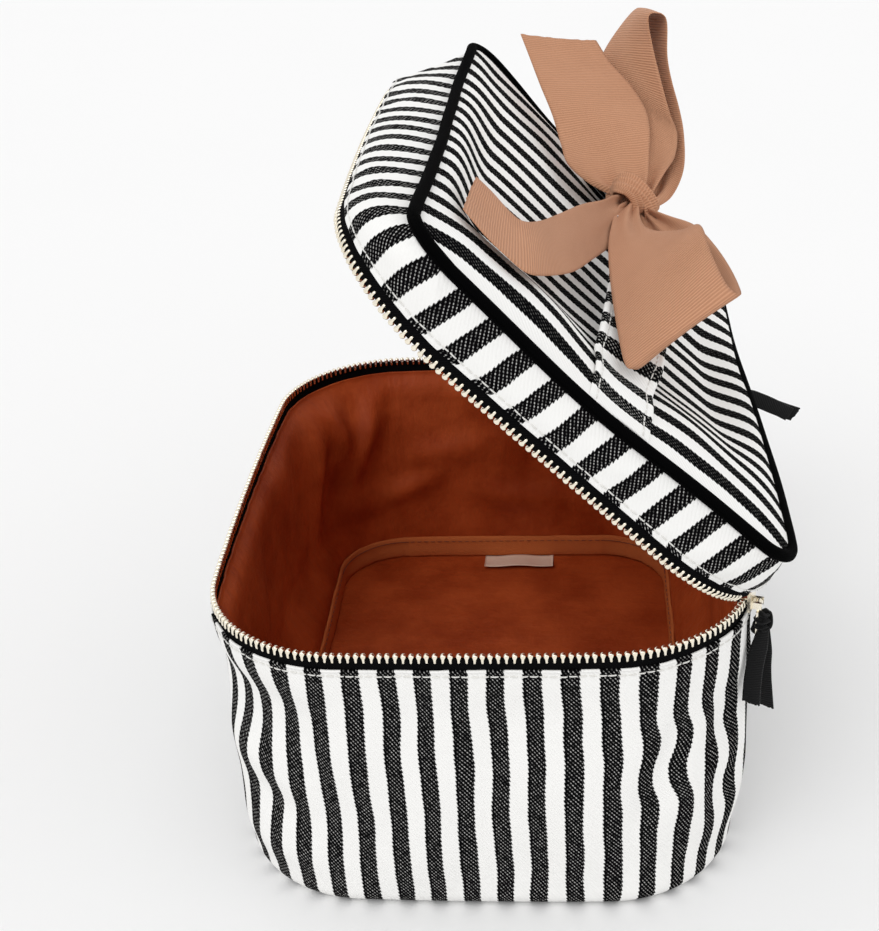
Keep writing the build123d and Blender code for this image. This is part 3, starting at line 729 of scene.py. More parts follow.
def tape_cloth(name, base, light, pitch=1.1):
    """Narrow woven tape with a herringbone of fine ribs."""
    p = Paint(name, 0.9, Specular_IOR_Level=0.02)
    u, v = p.uv()
    where = p.point(u, v)
    zig = p.math("ABSOLUTE", p.math("SUBTRACT", p.saw(v, 4.0), 0.5))
    lean = p.mad(zig, 4.0, u)
    rib = p.wave(lean, pitch)
    grain = p.noise(where, 2.5, 2.0)
    tone = p.mad(grain, 0.6, p.mul(rib, 0.4))
    colour = p.mix(tone, base, light)
    return p.finish(colour, [(rib, 0.12), (grain, 0.08)])


def metal(name):
    """Polished pale gold zip metal, with light scuffs."""
    p = Paint(name, 0.22, Metallic=1.0)
    where = p.place()
    grime = p.noise(where, 900.0, 3.0)
    colour = p.mix(grime, rgb(0.90, 0.80, 0.60), rgb(0.97, 0.93, 0.84))
    rough = p.mad(p.noise(where, 2600.0, 2.0), 0.22, 0.12)
    return p.finish(colour, [(p.noise(where, 1800.0, 2.0), 0.02)], rough)


def plain_fibre(name, low, high, scale, depth, roughness=0.9):
    p = Paint(name, roughness, Sheen_Weight=0.2, Specular_IOR_Level=0.2)
    where = p.place()
    grain = p.noise(where, scale, 4.0, 0.6)
    return p.finish(p.mix(grain, low, high), [(grain, depth)])


def floor_paint():
    p = Paint("studio_floor", 0.9, Specular_IOR_Level=0.1)
    cloud = p.noise(p.place(), 3.0, 2.0)
    return p.finish(p.mix(cloud, rgb(0.875, 0.875, 0.875), rgb(0.89, 0.89, 0.89)))


add_camera()
add_light()

M_TWILL = twill("striped_twill")
M_TOP_TWILL = twill("striped_twill_smooth", 0.25)
M_LINING = nylon("terracotta_nylon", rgb(0.300, 0.044, 0.009), rgb(0.450, 0.084, 0.020))
M_BINDING = tape_cloth("terracotta_tape", rgb(0.48, 0.130, 0.036), rgb(0.66, 0.20, 0.066), 0.9)
M_TAPE = tape_cloth("black_zip_tape", rgb(0.0015, 0.0015, 0.0018), rgb(0.006, 0.006, 0.0065))
M_METAL = metal("pale_gold")
M_PIPING = tape_cloth("black_piping", rgb(0.0006, 0.0006, 0.0007), rgb(0.0018, 0.0018, 0.002), 0.8)
# the bow's darker and lighter rose colours are the shaded and lit ends of its painted shade and painted
# highlight
M_BOW = ribbed("rose_grosgrain", rgb(0.42, 0.198, 0.108), rgb(0.60, 0.310, 0.185), 1.1, 0.22, 0.75)
M_PULL = ribbed("black_grosgrain", rgb(0.0015, 0.0015, 0.0015), rgb(0.005, 0.005, 0.0055), 0.9, 0.16)
M_LABEL = ribbed("blank_label", rgb(0.80, 0.62, 0.48), rgb(0.95, 0.80, 0.66), 0.5, 0.04)
M_THREAD = plain_fibre("white_thread", rgb(0.62, 0.61, 0.58), rgb(0.88, 0.87, 0.84), 4000.0, 0.06)
M_RUST_THREAD = plain_fibre("rust_thread", rgb(0.14, 0.04, 0.015), rgb(0.22, 0.07, 0.03), 4000.0, 0.06)
M_FOAM = plain_fibre("foam", rgb(0.74, 0.73, 0.68), rgb(0.86, 0.85, 0.81), 1500.0, 0.3)
M_BOARD = plain_fibre("board", rgb(0.33, 0.28, 0.20), rgb(0.50, 0.44, 0.35), 700.0, 0.1)


# ---- floor ----
def add_floor():
    reach = 9.0
    corners = [(x * reach, y * reach, 0.0) for x, y in ((-1, -1), (1, -1), (1, 1), (-1, 1))]
    mesh = bpy.data.meshes.new("floor")
    mesh.from_pydata(corners, [], [(0, 1, 2, 3)])
    mesh.materials.append(floor_paint())
    floor = bpy.data.objects.new("floor", mesh)
    bpy.context.scene.collection.objects.link(floor)


add_floor()


# ---- the case's walls ----
def shell(points, z, u=S_RING[None, :]):
    """A closed shell all the way round, from points laid out as (profile, ring)."""
    return grid(points, u, z[:, None], wrap_rows=True, wrap_columns=True, wrap_u=PERIMETER)


def wall_u(z):
    """The wall's cloth is eased in round the near front corner, so its stripes drift,
    and it is pulled this way and that where it buckles at the near back corner."""
    eased = ease(S_RING, NEAR_SIDE - 45.0, NEAR_SIDE + 70.0)
    eased = eased - ease(S_RING, FRONT_CORNER + 30.0, FRONT_CORNER + 170.0)
    buckled = np.exp(-(((S_RING - BACK_CORNER) / 30.0) ** 2))[None, :]
    pulled = 4.2 * waves(S_RING[None, :], z[:, None], 34.0, 15.0, 16, PERIMETER)
    return (S_RING + 8.5 * eased)[None, :] + buckled * pulled


TOP_STEPS = np.linalg.norm(np.roll(TOP_RING, -1, 0) - TOP_RING, axis=1)
TOP_S = np.concatenate([[0.0], np.cumsum(TOP_STEPS)])
TOP_S = TOP_S[:-1] * PERIMETER / TOP_S[-1]


def band_u(z):
    """The band is one straight strip, so its stripes keep their pitch at both edges."""
    t = np.clip((z[:, None] - BAND_LOW) / (BAND_HIGH - BAND_LOW), -0.1, 1.1)
    return S_RING[None, :] * (1 - t) + TOP_S[None, :] * t


def wall_profile(depth_out, depth_in, low, high, rows, inner_rows=24):
    up = np.linspace(low, high - 0.7, rows)
    roll_depth, roll_z = soft_edge(depth_out, depth_in, high, 1)
    down = np.linspace(high - 0.7, low, inner_rows)
    depth = np.concatenate([np.full(rows, depth_out), roll_depth, np.full(inner_rows, depth_in)])
    return depth, np.concatenate([up, roll_z, down])


def make_wall():
    depth, z = wall_profile(0.0, CLOTH_THICK, WALL_FOOT, BODY_CLOTH_TOP, 84)
    points = wall_points(ALL, depth, z)
    case_piece("wall_cloth", shell(points, z, wall_u(z)), M_TWILL, "twill", "outer_wall")
    depth, z = wall_profile(FOAM_IN, FOAM_OUT, FOAM_FOOT, FOAM_TOP, 30, 16)
    depth = np.minimum(depth, FOAM_IN + 0.8 + 2.1 * ease(z, 16.0, 46.0))
    points = wall_points(ALL, depth, z)
    foam = case_piece("wall_foam", shell(points, z), M_FOAM, "foam", "wall_padding")


# where, size, how far the loose lining stands in from the wall, lean
LINING_SHAPES = (
    ((FAR_CORNER - 6, 92.0), (9.0, 26.0), 6.5, -0.35),
    ((FAR_CORNER + 16, 84.0), (8.0, 24.0), 5.5, 0.45),
    ((FAR_CORNER - 30, 74.0), (11.0, 34.0), 4.5, 0.30),
    ((FAR_CORNER + 42, 52.0), (13.0, 9.0), 4.0, 1.2),
    ((FAR_CORNER + 60, 70.0), (18.0, 8.0), 3.4, 0.9),
    ((FAR_SIDE - 4, 86.0), (22.0, 16.0), 2.6, 0.0),
    ((FAR_SIDE + 12, 44.0), (26.0, 8.0), 2.8, -0.8),
    ((FRONT - 40, 66.0), (16.0, 30.0), 3.6, 0.25),
    ((FRONT + 50, 60.0), (14.0, 34.0), 3.2, -0.3),
    ((FRONT_CORNER, 70.0), (12.0, 30.0), 4.0, 0.2),
    ((BACK_CORNER, 70.0), (12.0, 30.0), 3.5, -0.2),
    ((PERIMETER - BACK_CORNER, 64.0), (12.0, 30.0), 3.5, 0.2),
)


def lining_gather(s, z):
    """The lining is cut loose, so it stands in from the foam in soft folds."""
    upper = ease(z, 40.0, 105.0)
    fold = 0.5 + 0.5 * waves(s + 0.25 * z, z, 17.0, 70.0, 41, PERIMETER)
    broad = 0.5 + 0.5 * waves(s - 0.2 * z, z, 38.0, 26.0, 42, PERIMETER)
    small = 0.5 + 0.5 * waves(s, z, 7.0, 24.0, 43, PERIMETER)
    stands = 1.8 * fold * upper + 2.2 * broad + 0.25 * small * upper
    for where, size, height, lean in LINING_SHAPES:
        stands = stands + mound(s, z, where, size, height, lean)
    return stands * ease(z, 8.0, 26.0) * (1 - ease(z, 99.0, 110.2))


def make_lining():
    """The wall's lining: sewn to the zip's tape above, to the base's edge below."""
    depth, z = wall_profile(LINING_IN, LINING_OUT, BASE_Z - 1.0, LINING_TOP, 96, 56)
    depth = depth - LINING_TO_TAPE * ease(z, LINING_TURN, LINING_TOP)
    points = wall_points(ALL, depth, z, lining_gather(S_RING[None, :], z[:, None]))
    edge, _ = base_edge(-1.3)
    share = (1 - ease(z, BASE_Z + 12.0, 48.0))[:, None, None]
    inner = (depth - LINING_IN)[:, None, None] * RIM_NORMAL[None]
    points[..., :2] = points[..., :2] * (1 - share) + (edge[None] - inner) * share
    case_piece("wall_lining_cloth", shell(points, z), M_LINING, "lining", "wall_lining")


make_wall()
make_lining()


# ---- base ----
def panel_piece(name, top, bottom, material, body, slot, replaced, turn=False):
    points = slab(top, bottom)
    u, v = points[..., 0], points[..., 1]
    laid = opened(points) if turn else points
    _, faces, uvs = grid(points, u, v, wrap_columns=True)
    # the wrapped column carries its own coordinates, so it needs no offset
    uvs = uvs.reshape(-1, 4, 2)[:, ::-1]
    return build(name, laid.reshape(-1, 3), faces[:, ::-1], uvs, material, body, slot, replaced, True)


def base_height(x, y):
    """The base's lining lies loose over the board and climbs a little at the far end."""
    loose = 0.5 + 0.5 * waves(x + 300, y + 300, 40.0, 34.0, 51)
    return BASE_Z + 3.0 * ease(-x, 0.0, 112.0) + 0.9 * loose * ease(edge_distance(x, y, 116, 79, 31), 2, 24)


def make_base():
    top = panel(base_edge()[0], base_height)
    low = panel(base_edge()[0], base_height, extra=-0.7)
    panel_piece("base_lining_cloth", top, low, M_LINING, "case", "lining", ["base_lining"])
    edge, _ = ring(BODY, float(wall_inset(WALL_FOOT)) + CLOTH_THICK)
    flat = panel(edge, lambda x, y: 1.15 + 0 * x, 24)
    under = panel(edge, lambda x, y: 0.25 * (1 - ease(edge_distance(x, y, 112, 84, 40), 0, 5)), 24)
    panel_piece("bottom_cloth", flat, under, M_TWILL, "case", "twill", ["outer_bottom"])


make_base()


# ---- the lid's band and top ----
def band_profile(depth_out, depth_in, low, high, rows, inner_rows=10):
    roll_depth, roll_z = soft_edge(depth_out, depth_in, low, -1)
    up = np.linspace(low + 0.7, high, rows)
    down = np.linspace(high, low + 0.7, inner_rows)
    depth = np.concatenate([np.full(rows, depth_out), np.full(inner_rows, depth_in), roll_depth[::-1]])
    return depth, np.concatenate([up, down, roll_z[::-1]])


def make_band():
    depth, z = band_profile(0.0, CLOTH_THICK, LID_CLOTH_BOTTOM, BAND_TOP, 22)
    cloth = shell(band_points(depth, z), z, band_u(z))
    lid_piece("band_cloth", cloth, M_TWILL, "twill", "lid_band")
    depth, z = band_profile(FOAM_IN, FOAM_OUT, BAND_FOAM_LOW, BAND_FOAM_HIGH, 10)
    padding = shell(band_points(depth, z), z)
    foam = lid_piece("band_foam", padding, M_FOAM, "foam", "lid_band_padding")
    depth, z = band_profile(LINING_IN, LINING_OUT, BAND_LINING_LOW, BAND_LINING_HIGH, 24, 24)
    depth = depth - LINING_TO_TAPE * (1 - ease(z, BAND_LINING_LOW, BAND_LINING_TURN))
    s, t = S_RING[None, :], z[:, None]
    loose = 0.6 * (0.5 + 0.5 * waves(s, t, 9.0, 14.0, 61, PERIMETER)) * ease(t, BAND_LOW, BAND_LINING_TURN)
    turned_in = 4.2 * ease(t, 136.0, 142.0)
    lining = shell(band_points(depth, z, loose + turned_in), z)
    lid_piece("band_lining_cloth", lining, M_LINING, "lining", "lid_band_lining")


def make_top():
    """The top's cloth, foam and lining: each has its edge's inset and its depth below."""
    cloth_edge, foam_edge, lining_edge = (top_edge(inset)[0] for inset in (0.9, 5.0, 4.9))
    top = panel(cloth_edge, top_height, 60)
    low = panel(cloth_edge, top_height, 60, extra=-CLOTH_THICK)
    panel_piece("top_cloth", top, low, M_TOP_TWILL, "lid", "twill", ["lid_top_panel"], True)
    foam_top = panel(foam_edge, lambda x, y: top_height(x, y) - 1.1, 30)
    foam_low = panel(foam_edge, lambda x, y: top_height(x, y) - 4.0, 30)
    foam = panel_piece("top_foam", foam_top, foam_low, M_FOAM, "lid", "foam", ["lid_top_padding"], True)

    def under(x, y):
        d = edge_distance(x, y)
        ripple = 0.5 + 0.5 * waves(x + 300, y + 300, 30.0, 36.0, 62)
        return top_height(x, y) - 4.9 - 1.0 * (1 - ease(d, 5, 16)) - 1.0 * ripple * ease(d, 6, 30)

    lining = panel(lining_edge, lambda x, y: under(x, y) + 0.7, 46)
    lining_low = panel(lining_edge, under, 46)
    panel_piece("top_lining_cloth", lining, lining_low, M_LINING, "lid", "lining", ["lid_top_lining"], True)


make_band()
make_top()


# ---- tubes round the rim ----
def tube(centres, side, profile):
    """Sweeps a closed (sideways, up) profile along a line of centres all the way round."""
    rows = centres[None] + profile[:, 0, None, None] * side[None] + profile[:, 1, None, None] * UP
    girth = distances(profile)[:, None]
    wrap_u = float(S_RING[-1] + S_RING[1])
    return grid(rows, S_RING[None, :], girth, wrap_rows=True, wrap_columns=True, wrap_u=wrap_u)


def oval(half_across, half_up, count):
    angle = np.linspace(0, 2 * math.pi, count, endpoint=False)
    return np.stack([half_across * np.cos(angle), half_up * np.sin(angle)], -1)


UP = np.array([0.0, 0.0, 1.0])


def make_piping():
    wander = 0.25 * waves(S_RING, 0.0, 24.0, 10.0, 71, PERIMETER)
    xy = TOP_RING + TOP_NORMAL * wander[:, None]
    lift = PIPING_Z - piping_sag(xy[:, 0], xy[:, 1]) + 0.3 * waves(S_RING, 5.0, 30.0, 10.0, 72, PERIMETER)
    centres = flat3(xy, lift)
    cord = tube(centres, flat3(TOP_NORMAL, 0.0), oval(PIPING_R, PIPING_R, 18))
    lid_piece("piping_cord", cord, M_PIPING, "piping", "lid_piping")


make_piping()


# ---- zip tape and teeth ----
def s_at_corner(degrees):
    """Distance s of a place that many degrees round the near back corner."""
    return BODY["back"][0] + math.radians(degrees) * CORNER_R


def rim_band(first, low, high, bead, rows=16):
    """A flat tape with a beaded edge along the zipper's line, open across the hinge."""
    start = s_at_corner(first)
    count = round((PERIMETER - 2 * start) / STEP)
    s = np.linspace(start, PERIMETER - start, count)
    xy = rim_value(RIM, s)
    normal = unit(rim_value(RIM_NORMAL, s))
    z = np.linspace(low, high, rows)
    bulge = 0.45 * np.exp(-(((z - bead) / 0.8) ** 2))
    depth = np.concatenate([TAPE_IN - bulge, (TAPE_OUT + bulge)[::-1]])
    z = np.concatenate([z, z[::-1]])
    ripple = 0.12 * waves(s, 3.0, 7.0, 10.0, 81, PERIMETER)
    flat = xy[None] - normal[None] * (depth[:, None] + ripple[None])[..., None]
    points = np.concatenate([flat, np.broadcast_to(z[:, None], flat.shape[:2])[..., None]], -1)
    return grid(points, s[None, :], z[:, None], wrap_rows=True)


def tooth_shape():
    """One cast tooth: a foot that grips the tape, a waist and a two-lobed head."""
    # height, half width along the rim, half thickness through the tape
    levels = (
        (0.00, 0.30, 0.70),
        (0.12, 0.52, 1.10),
        (0.60, 0.64, 1.32),
        (1.50, 0.62, 1.34),
        (2.05, 0.70, 1.28),
        (2.45, 1.00, 1.22),
        (2.95, 1.10, 1.18),
        (3.30, 0.98, 1.05),
        (3.55, 0.60, 0.75),
        (3.62, 0.20, 0.30),
    )
    sides, round_off = 14, 0.62
    angle = np.linspace(0, 2 * math.pi, sides, endpoint=False) + math.pi / sides
    c, s = np.cos(angle), np.sin(angle)
    rows = []
    for height, wide, thick in levels:
        x = thick * np.sign(c) * np.abs(c) ** round_off
        y = wide * np.sign(s) * np.abs(s) ** round_off
        dimple = 0.42 * math.exp(-(((height - 2.75) / 0.5) ** 2)) * np.exp(-((y / 0.45) ** 2))
        x = x - np.sign(x) * dimple
        nib = 0.22 * math.exp(-(((height - 3.5) / 0.3) ** 2))
        rows.append(np.stack([x, y, np.full_like(x, height) + nib * np.exp(-((y / 0.4) ** 2))], -1))
    rows = np.stack(rows)
    points, faces, _ = grid(rows, np.zeros(rows.shape[:2]), np.zeros(rows.shape[:2]), wrap_columns=True)
    base, last = len(points), (len(levels) - 1) * sides
    points = np.concatenate([points, [[0, 0, -0.05], [0, 0, 3.70]]])
    caps = []
    for k in range(sides):
        after = (k + 1) % sides
        caps.append([base, after, k])
        caps.append([base + 1, last + k, last + after])
    return points * TOOTH_SIZE, faces, np.array(caps)


def make_teeth(name, first, foot, way, node, body):
    start = s_at_corner(first)
    total = PERIMETER - 2 * start
    count = int((total - TOOTH_PITCH) / TOOTH_PITCH)
    s = start + (total - count * TOOTH_PITCH) / 2 + TOOTH_PITCH * np.arange(count)
    xy = rim_value(RIM, s)
    normal = unit(rim_value(RIM_NORMAL, s))
    random = np.random.default_rng(91)
    depth = (TAPE_IN + TAPE_OUT) / 2 + random.uniform(-0.06, 0.06, count)
    places = flat3(xy - normal * depth[:, None], foot + random.uniform(-0.05, 0.05, count))
    across = flat3(normal, 0.0)
    along = np.stack([-across[:, 1], across[:, 0], np.zeros(count)], -1)
    tip = random.uniform(-0.05, 0.05, count)[:, None]
    up = unit(np.tile(UP * way, (count, 1)) + along * tip)
    points, sides, caps = tooth_shape()
    if way < 0:
        along = -along
    where, quads, _ = stamped((points, sides), places, across, along, up)
    ends = (caps[None] + (np.arange(count) * len(points))[:, None, None]).reshape(-1, 3)
    if way < 0:
        where = opened(where)
    faces = quads.tolist() + ends.tolist()
    mesh = bpy.data.meshes.new(name)
    mesh.from_pydata((where * MM).tolist(), [], faces)
    mesh.polygons.foreach_set("use_smooth", np.ones(len(faces), bool))
    placed(name, mesh, M_METAL, body, [node])


def make_zip():
    """Each half starts some degrees round the corners, clear of the cloth hinge."""
    tape = rim_band(9.0, low=108.6, high=115.6, bead=115.0)
    case_piece("body_tape_cloth", tape, M_TAPE, "zip_tape", "body_zip_tape")
    tape = rim_band(30.0, low=120.4, high=127.2, bead=121.0)
    lid_piece("lid_tape_cloth", tape, M_TAPE, "zip_tape", "lid_zip_tape")
    make_teeth("body_teeth", 11.0, 113.9, 1, "body_zip_teeth", "case")
    make_teeth("lid_teeth", 38.0, 122.1, -1, "lid_zip_teeth", "lid")


make_zip()


# ---- rows of stitches ----
def thread_shape(length, radius):
    """A short run of thread that dives into the cloth at both ends."""
    share = np.array([-0.5, -0.42, -0.25, 0.0, 0.25, 0.42, 0.5])
    lift = np.array([-0.9, 0.0, 0.55, 0.7, 0.55, 0.0, -0.9]) * radius
    wide = np.array([0.3, 0.9, 1.0, 1.0, 1.0, 0.9, 0.3]) * radius
    angle = np.linspace(0, 2 * math.pi, 6, endpoint=False)
    rows = []
    for a, up, r in zip(share, lift, wide):
        rows.append(np.stack([up + r * np.cos(angle), np.full(6, a * length), r * np.sin(angle)], -1))
    points, faces, _ = grid(np.stack(rows), np.zeros((7, 6)), np.zeros((7, 6)), wrap_columns=True)
    return points, faces


def stitch_row(places, normals, length, radius, seed):
    """Stitches centred on places; each runs towards the next place."""
    way = np.roll(places, -1, 0) - places
    way[-1] = places[-1] - places[-2]
    way = unit(way)
    random = np.random.default_rng(seed)
    side = np.cross(normals, way)
    way = unit(way + side * random.uniform(-0.07, 0.07, len(way))[:, None])
    side = np.cross(normals, way)
    return stamped(thread_shape(length, radius), places, normals, way, side)


def round_normals(index_normal, s):
    return unit(flat3(rim_value(index_normal, s), 0.0))


TOPSTITCH_IN = 2.3


def wall_place(s, z, out):
    inset = wall_inset(z) - wall_wave(s, z) - out
    xy = rim_value(RIM, s) - rim_value(RIM_NORMAL, s) * np.asarray(inset)[:, None]
    return flat3(xy, z)


def band_place(s, z, out):
    t = (z - BAND_LOW) / (BAND_HIGH - BAND_LOW)
    share = max(t, 0.0)
    rim = rim_value(RIM, s) * (1 - share) + rim_value(TOP_RING, s) * share
    normal = rim_value(RIM_NORMAL, s) * (1 - share) + rim_value(TOP_NORMAL, s) * share
    return flat3(rim + unit(normal) * (band_wave(s, t) + out)[:, None], z)


def make_rim_stitches():
    count = int(PERIMETER / STITCH)
    s = np.arange(count) * PERIMETER / count
    wander = 0.18 * waves(s, 2.0, 9.0, 10.0, 101, PERIMETER)
    z = BODY_CLOTH_TOP - TOPSTITCH_IN + wander
    normals = round_normals(RIM_NORMAL, s)
    row = stitch_row(wall_place(s, z, 0.05), normals, STITCH * 0.9, THREAD_R, 102)
    case_piece("wall_topstitch", row, M_THREAD, "twill")
    places = band_place(s, LID_CLOTH_BOTTOM + TOPSTITCH_IN, 0.05)
    places[:, 2] += wander
    row = stitch_row(places, normals, STITCH * 0.9, THREAD_R, 103)
    lid_piece("band_topstitch", row, M_THREAD, "twill")


make_rim_stitches()


# ---- binding and label inside ----
BASE_RING, BASE_NORMAL = base_edge()
LID_BINDING_INSET, LID_BINDING_Z = 7.4, 139.6


def make_binding():
    # how far the folded tape stands in from the base's edge, and its height over the base
    profile = (
        (-0.2, 0.1), (-0.7, 4.0), (-0.8, 9.0), (-0.7, 10.4), (-0.1, 10.9), (0.6, 10.2),
        (0.7, 8.0), (1.1, 4.5), (1.5, 1.2), (1.1, 0.2),
    )
    z_edge = base_height(BASE_RING[:, 0], BASE_RING[:, 1])
    rows = []
    for depth, rise in profile:
        pull = 0.3 * waves(S_RING, rise, 8.0, 14.0, 111, PERIMETER)
        droop = 0.5 * waves(S_RING, 3.0, 22.0, 9.0, 112, PERIMETER) * ease(rise, 4, 9)
        flat = BASE_RING - BASE_NORMAL * (depth + pull)[:, None]
        rows.append(flat3(flat, z_edge + rise + droop))
    parts = shell(np.stack(rows), distances(np.array(profile)))
    case_piece("base_binding_tape", parts, M_BINDING, "binding", "base_binding")
    count = int(PERIMETER / STITCH)
    s = np.arange(count) * PERIMETER / count
    place = rim_value(BASE_RING, s) - rim_value(BASE_NORMAL, s) * 0.95
    place = flat3(place, rim_value(z_edge, s) + 8.6)
    row = stitch_row(place, -round_normals(BASE_NORMAL, s), 2.3, 0.16, 113)
    case_piece("binding_stitch", row, M_RUST_THREAD, "binding")


def make_lid_binding():
    points, normals = top_edge(LID_BINDING_INSET)
    tape = tube(flat3(points, LID_BINDING_Z), flat3(normals, 0.0), oval(1.1, 2.9, 14))
    lid_piece("lid_binding_tape", tape, M_BINDING, "binding", "lid_binding")


def make_label():
    """A blank woven label, caught in the binding's lower edge and lying on the base."""
    wide, tall, columns, rows = 34.0, 14.0, 30, 12
    middle_y, far_x = 7.5, -117.5
    y = np.linspace(-wide / 2, wide / 2, columns) + middle_y
    reach = np.linspace(0.0, tall, rows)
    yy, rr = np.meshgrid(y, reach)
    x = rr * 0.97 + far_x + 1.6
    curl = 0.35 * np.cos((yy - middle_y) / wide * 2 * math.pi * 1.4) + 1.6 * (rr / tall) ** 2
    z = base_height(x, yy) + 0.5 + curl
    face = np.stack([x, yy, z + 0.2], -1)
    back = np.stack([x, yy, z - 0.2], -1)
    closed = np.concatenate([face, back[::-1]])
    parts = grid(closed, closed[..., 1], closed[..., 0], wrap_rows=True)
    label = case_piece("blank_label", parts, M_LABEL, "label", "care_label")


make_binding()
make_lid_binding()
make_label()


# ---- hinge ----
def make_hinge():
    half = s_at_corner(10.0)
    columns = round(2 * half / STEP)
    s = np.linspace(-half, half, columns)
    xy = rim_value(RIM, s)
    normal = rim_value(RIM_NORMAL, s)
    heights = np.linspace(106.0, 129.0, 34)
    rows = []
    for depth in (TAPE_IN, TAPE_OUT - 0.1):
        layer = []
        for z in heights:
            flat = flat3(xy - normal * depth, z)
            share = float(ease(z, 112.0, 124.0))
            angle = REST_ANGLE * share
            y, h = flat[:, 1] - HINGE_Y, flat[:, 2] - RIM_Z
            c, k = math.cos(angle), math.sin(angle)
            layer.append(np.stack([flat[:, 0], y * c + h * k + HINGE_Y, h * c - y * k + RIM_Z], -1))
        rows.append(np.stack(layer))
    points = np.concatenate([rows[0], rows[1][::-1]])
    v = np.concatenate([heights, heights[::-1]])
    parts = grid(points, s[None, :], v[:, None], wrap_rows=True)
    hinge = build("hinge_cloth", *parts, M_TAPE, None, "twill", ["hinge_strip"])
    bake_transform(hinge)


make_hinge()


# ---- carry strap ----
STRAP_HALF, STRAP_FLAT, STRAP_LIFT = 124.6, 98.0, 12.0
STRAP_TILT = 2.4
STRAP_LOW = 148.1
STRAP_RAISE = 1.15
STRAP_EDGE, STRAP_SEAM = 12.5, 9.7


def arch(x):
    radius = (STRAP_FLAT**2 + STRAP_LIFT**2) / (2 * STRAP_LIFT)
    x = np.clip(np.abs(x), 0, STRAP_FLAT)
    return STRAP_LOW + STRAP_LIFT - radius + np.sqrt(radius**2 - x**2)


def strap_base(x, y):
    down = ease(np.abs(x), 84.0, 99.0)
    panel_z = top_height(x, y)
    tilt = STRAP_TILT * (y - STRAP_Y) / STRAP_EDGE * ease(x, -20.0, 20.0)
    return np.maximum((arch(x) + tilt) * (1 - down) + panel_z * down, panel_z + 0.1)


def strap_tuck(x):
    """The strap thins where its ends go under the piping."""
    return 1 - 0.8 * ease(np.abs(x), STRAP_HALF - 22.0, STRAP_HALF)


def strap_bend(x, y):
    return 0.25 * waves(x + 200, y + 50, 12.0, 12.0, 122)


def strap_profile():
    """Half thickness at each place across: rolled edges with a stitched groove."""
    y = np.concatenate([[-STRAP_EDGE], np.linspace(-12.3, 12.3, 35), [STRAP_EDGE]])
    a = np.abs(y)
    half = 0.85 + 0.35 * np.exp(-(((a - 11.4) / 0.8) ** 2)) - 0.30 * np.exp(-(((a - STRAP_SEAM) / 0.5) ** 2))
    half = half * np.sqrt(np.clip(1 - (a / 12.6) ** 14, 0.0, 1.0))
    return y, half


def make_strap():
    x = np.linspace(-STRAP_HALF, STRAP_HALF, 240)
    y, half = strap_profile()
    yy = np.concatenate([y, y[::-1]]) + STRAP_Y
    lift = np.concatenate([half, -half[::-1]])
    tuck = strap_tuck(x)
    xx = np.broadcast_to(x[None, :], (len(yy), len(x)))
    drawn_in = 1 - 0.05 * np.exp(-(((x + 37.0) / 16.0) ** 2))
    width = STRAP_Y + (yy - STRAP_Y)[:, None] * drawn_in[None, :]
    width = width + 0.3 * waves(xx + 200, 3.0, 25.0, 9.0, 121)
    base = strap_base(xx, width) + STRAP_RAISE * tuck[None, :]
    z = base + strap_bend(xx, width) + lift[:, None] * tuck[None, :]
    parts = grid(np.stack([xx, width, z], -1), xx, width, wrap_rows=True)
    lid_piece("strap_cloth", parts, M_TWILL, "twill", "handle_strap")
    rows = []
    for number, side in enumerate((-STRAP_SEAM, STRAP_SEAM)):
        sx = np.arange(-STRAP_HALF + 2, STRAP_HALF - 1, 3.1)
        sy = np.full_like(sx, STRAP_Y + side)
        z = strap_base(sx, sy) + (STRAP_RAISE + 0.62) * strap_tuck(sx) + strap_bend(sx, sy)
        normals = np.tile(UP, (len(sx), 1))
        rows.append(stitch_row(np.stack([sx, sy, z], -1), normals, 2.7, THREAD_R, 123 + number))
    lid_piece("strap_stitches", joined(rows), M_THREAD, "twill")


make_strap()


# ---- ribbons ----
def spline(points, count):
    """A smooth curve through the points, evenly counted between them."""
    points = np.asarray(points, float)
    padded = np.concatenate([[2 * points[0] - points[1]], points, [2 * points[-1] - points[-2]]])
    t = np.linspace(0, len(points) - 1, count)
    k = np.clip(t.astype(int), 0, len(points) - 2)
    f = (t - k)[:, None]
    a, b, c, d = padded[k], padded[k + 1], padded[k + 2], padded[k + 3]
    return 0.5 * (2 * b + (c - a) * f + (2 * a - 5 * b + 4 * c - d) * f**2 + (3 * b - a - 3 * c + d) * f**3)


def smoothed(curve, turns=2):
    for _ in range(turns):
        inner = (curve[:-2] + 2 * curve[1:-1] + curve[2:]) / 4
        curve = np.concatenate([curve[:1], inner, curve[-1:]])
    return curve


def flat_ribbon(t, w):
    return 0.0 * w


def run_and_normal(sheet):
    """The sheet's direction of run and its unit normal at each point."""
    along = np.gradient(sheet, axis=1)
    normal = np.cross(along, np.gradient(sheet, axis=0))
    return along, unit(normal)


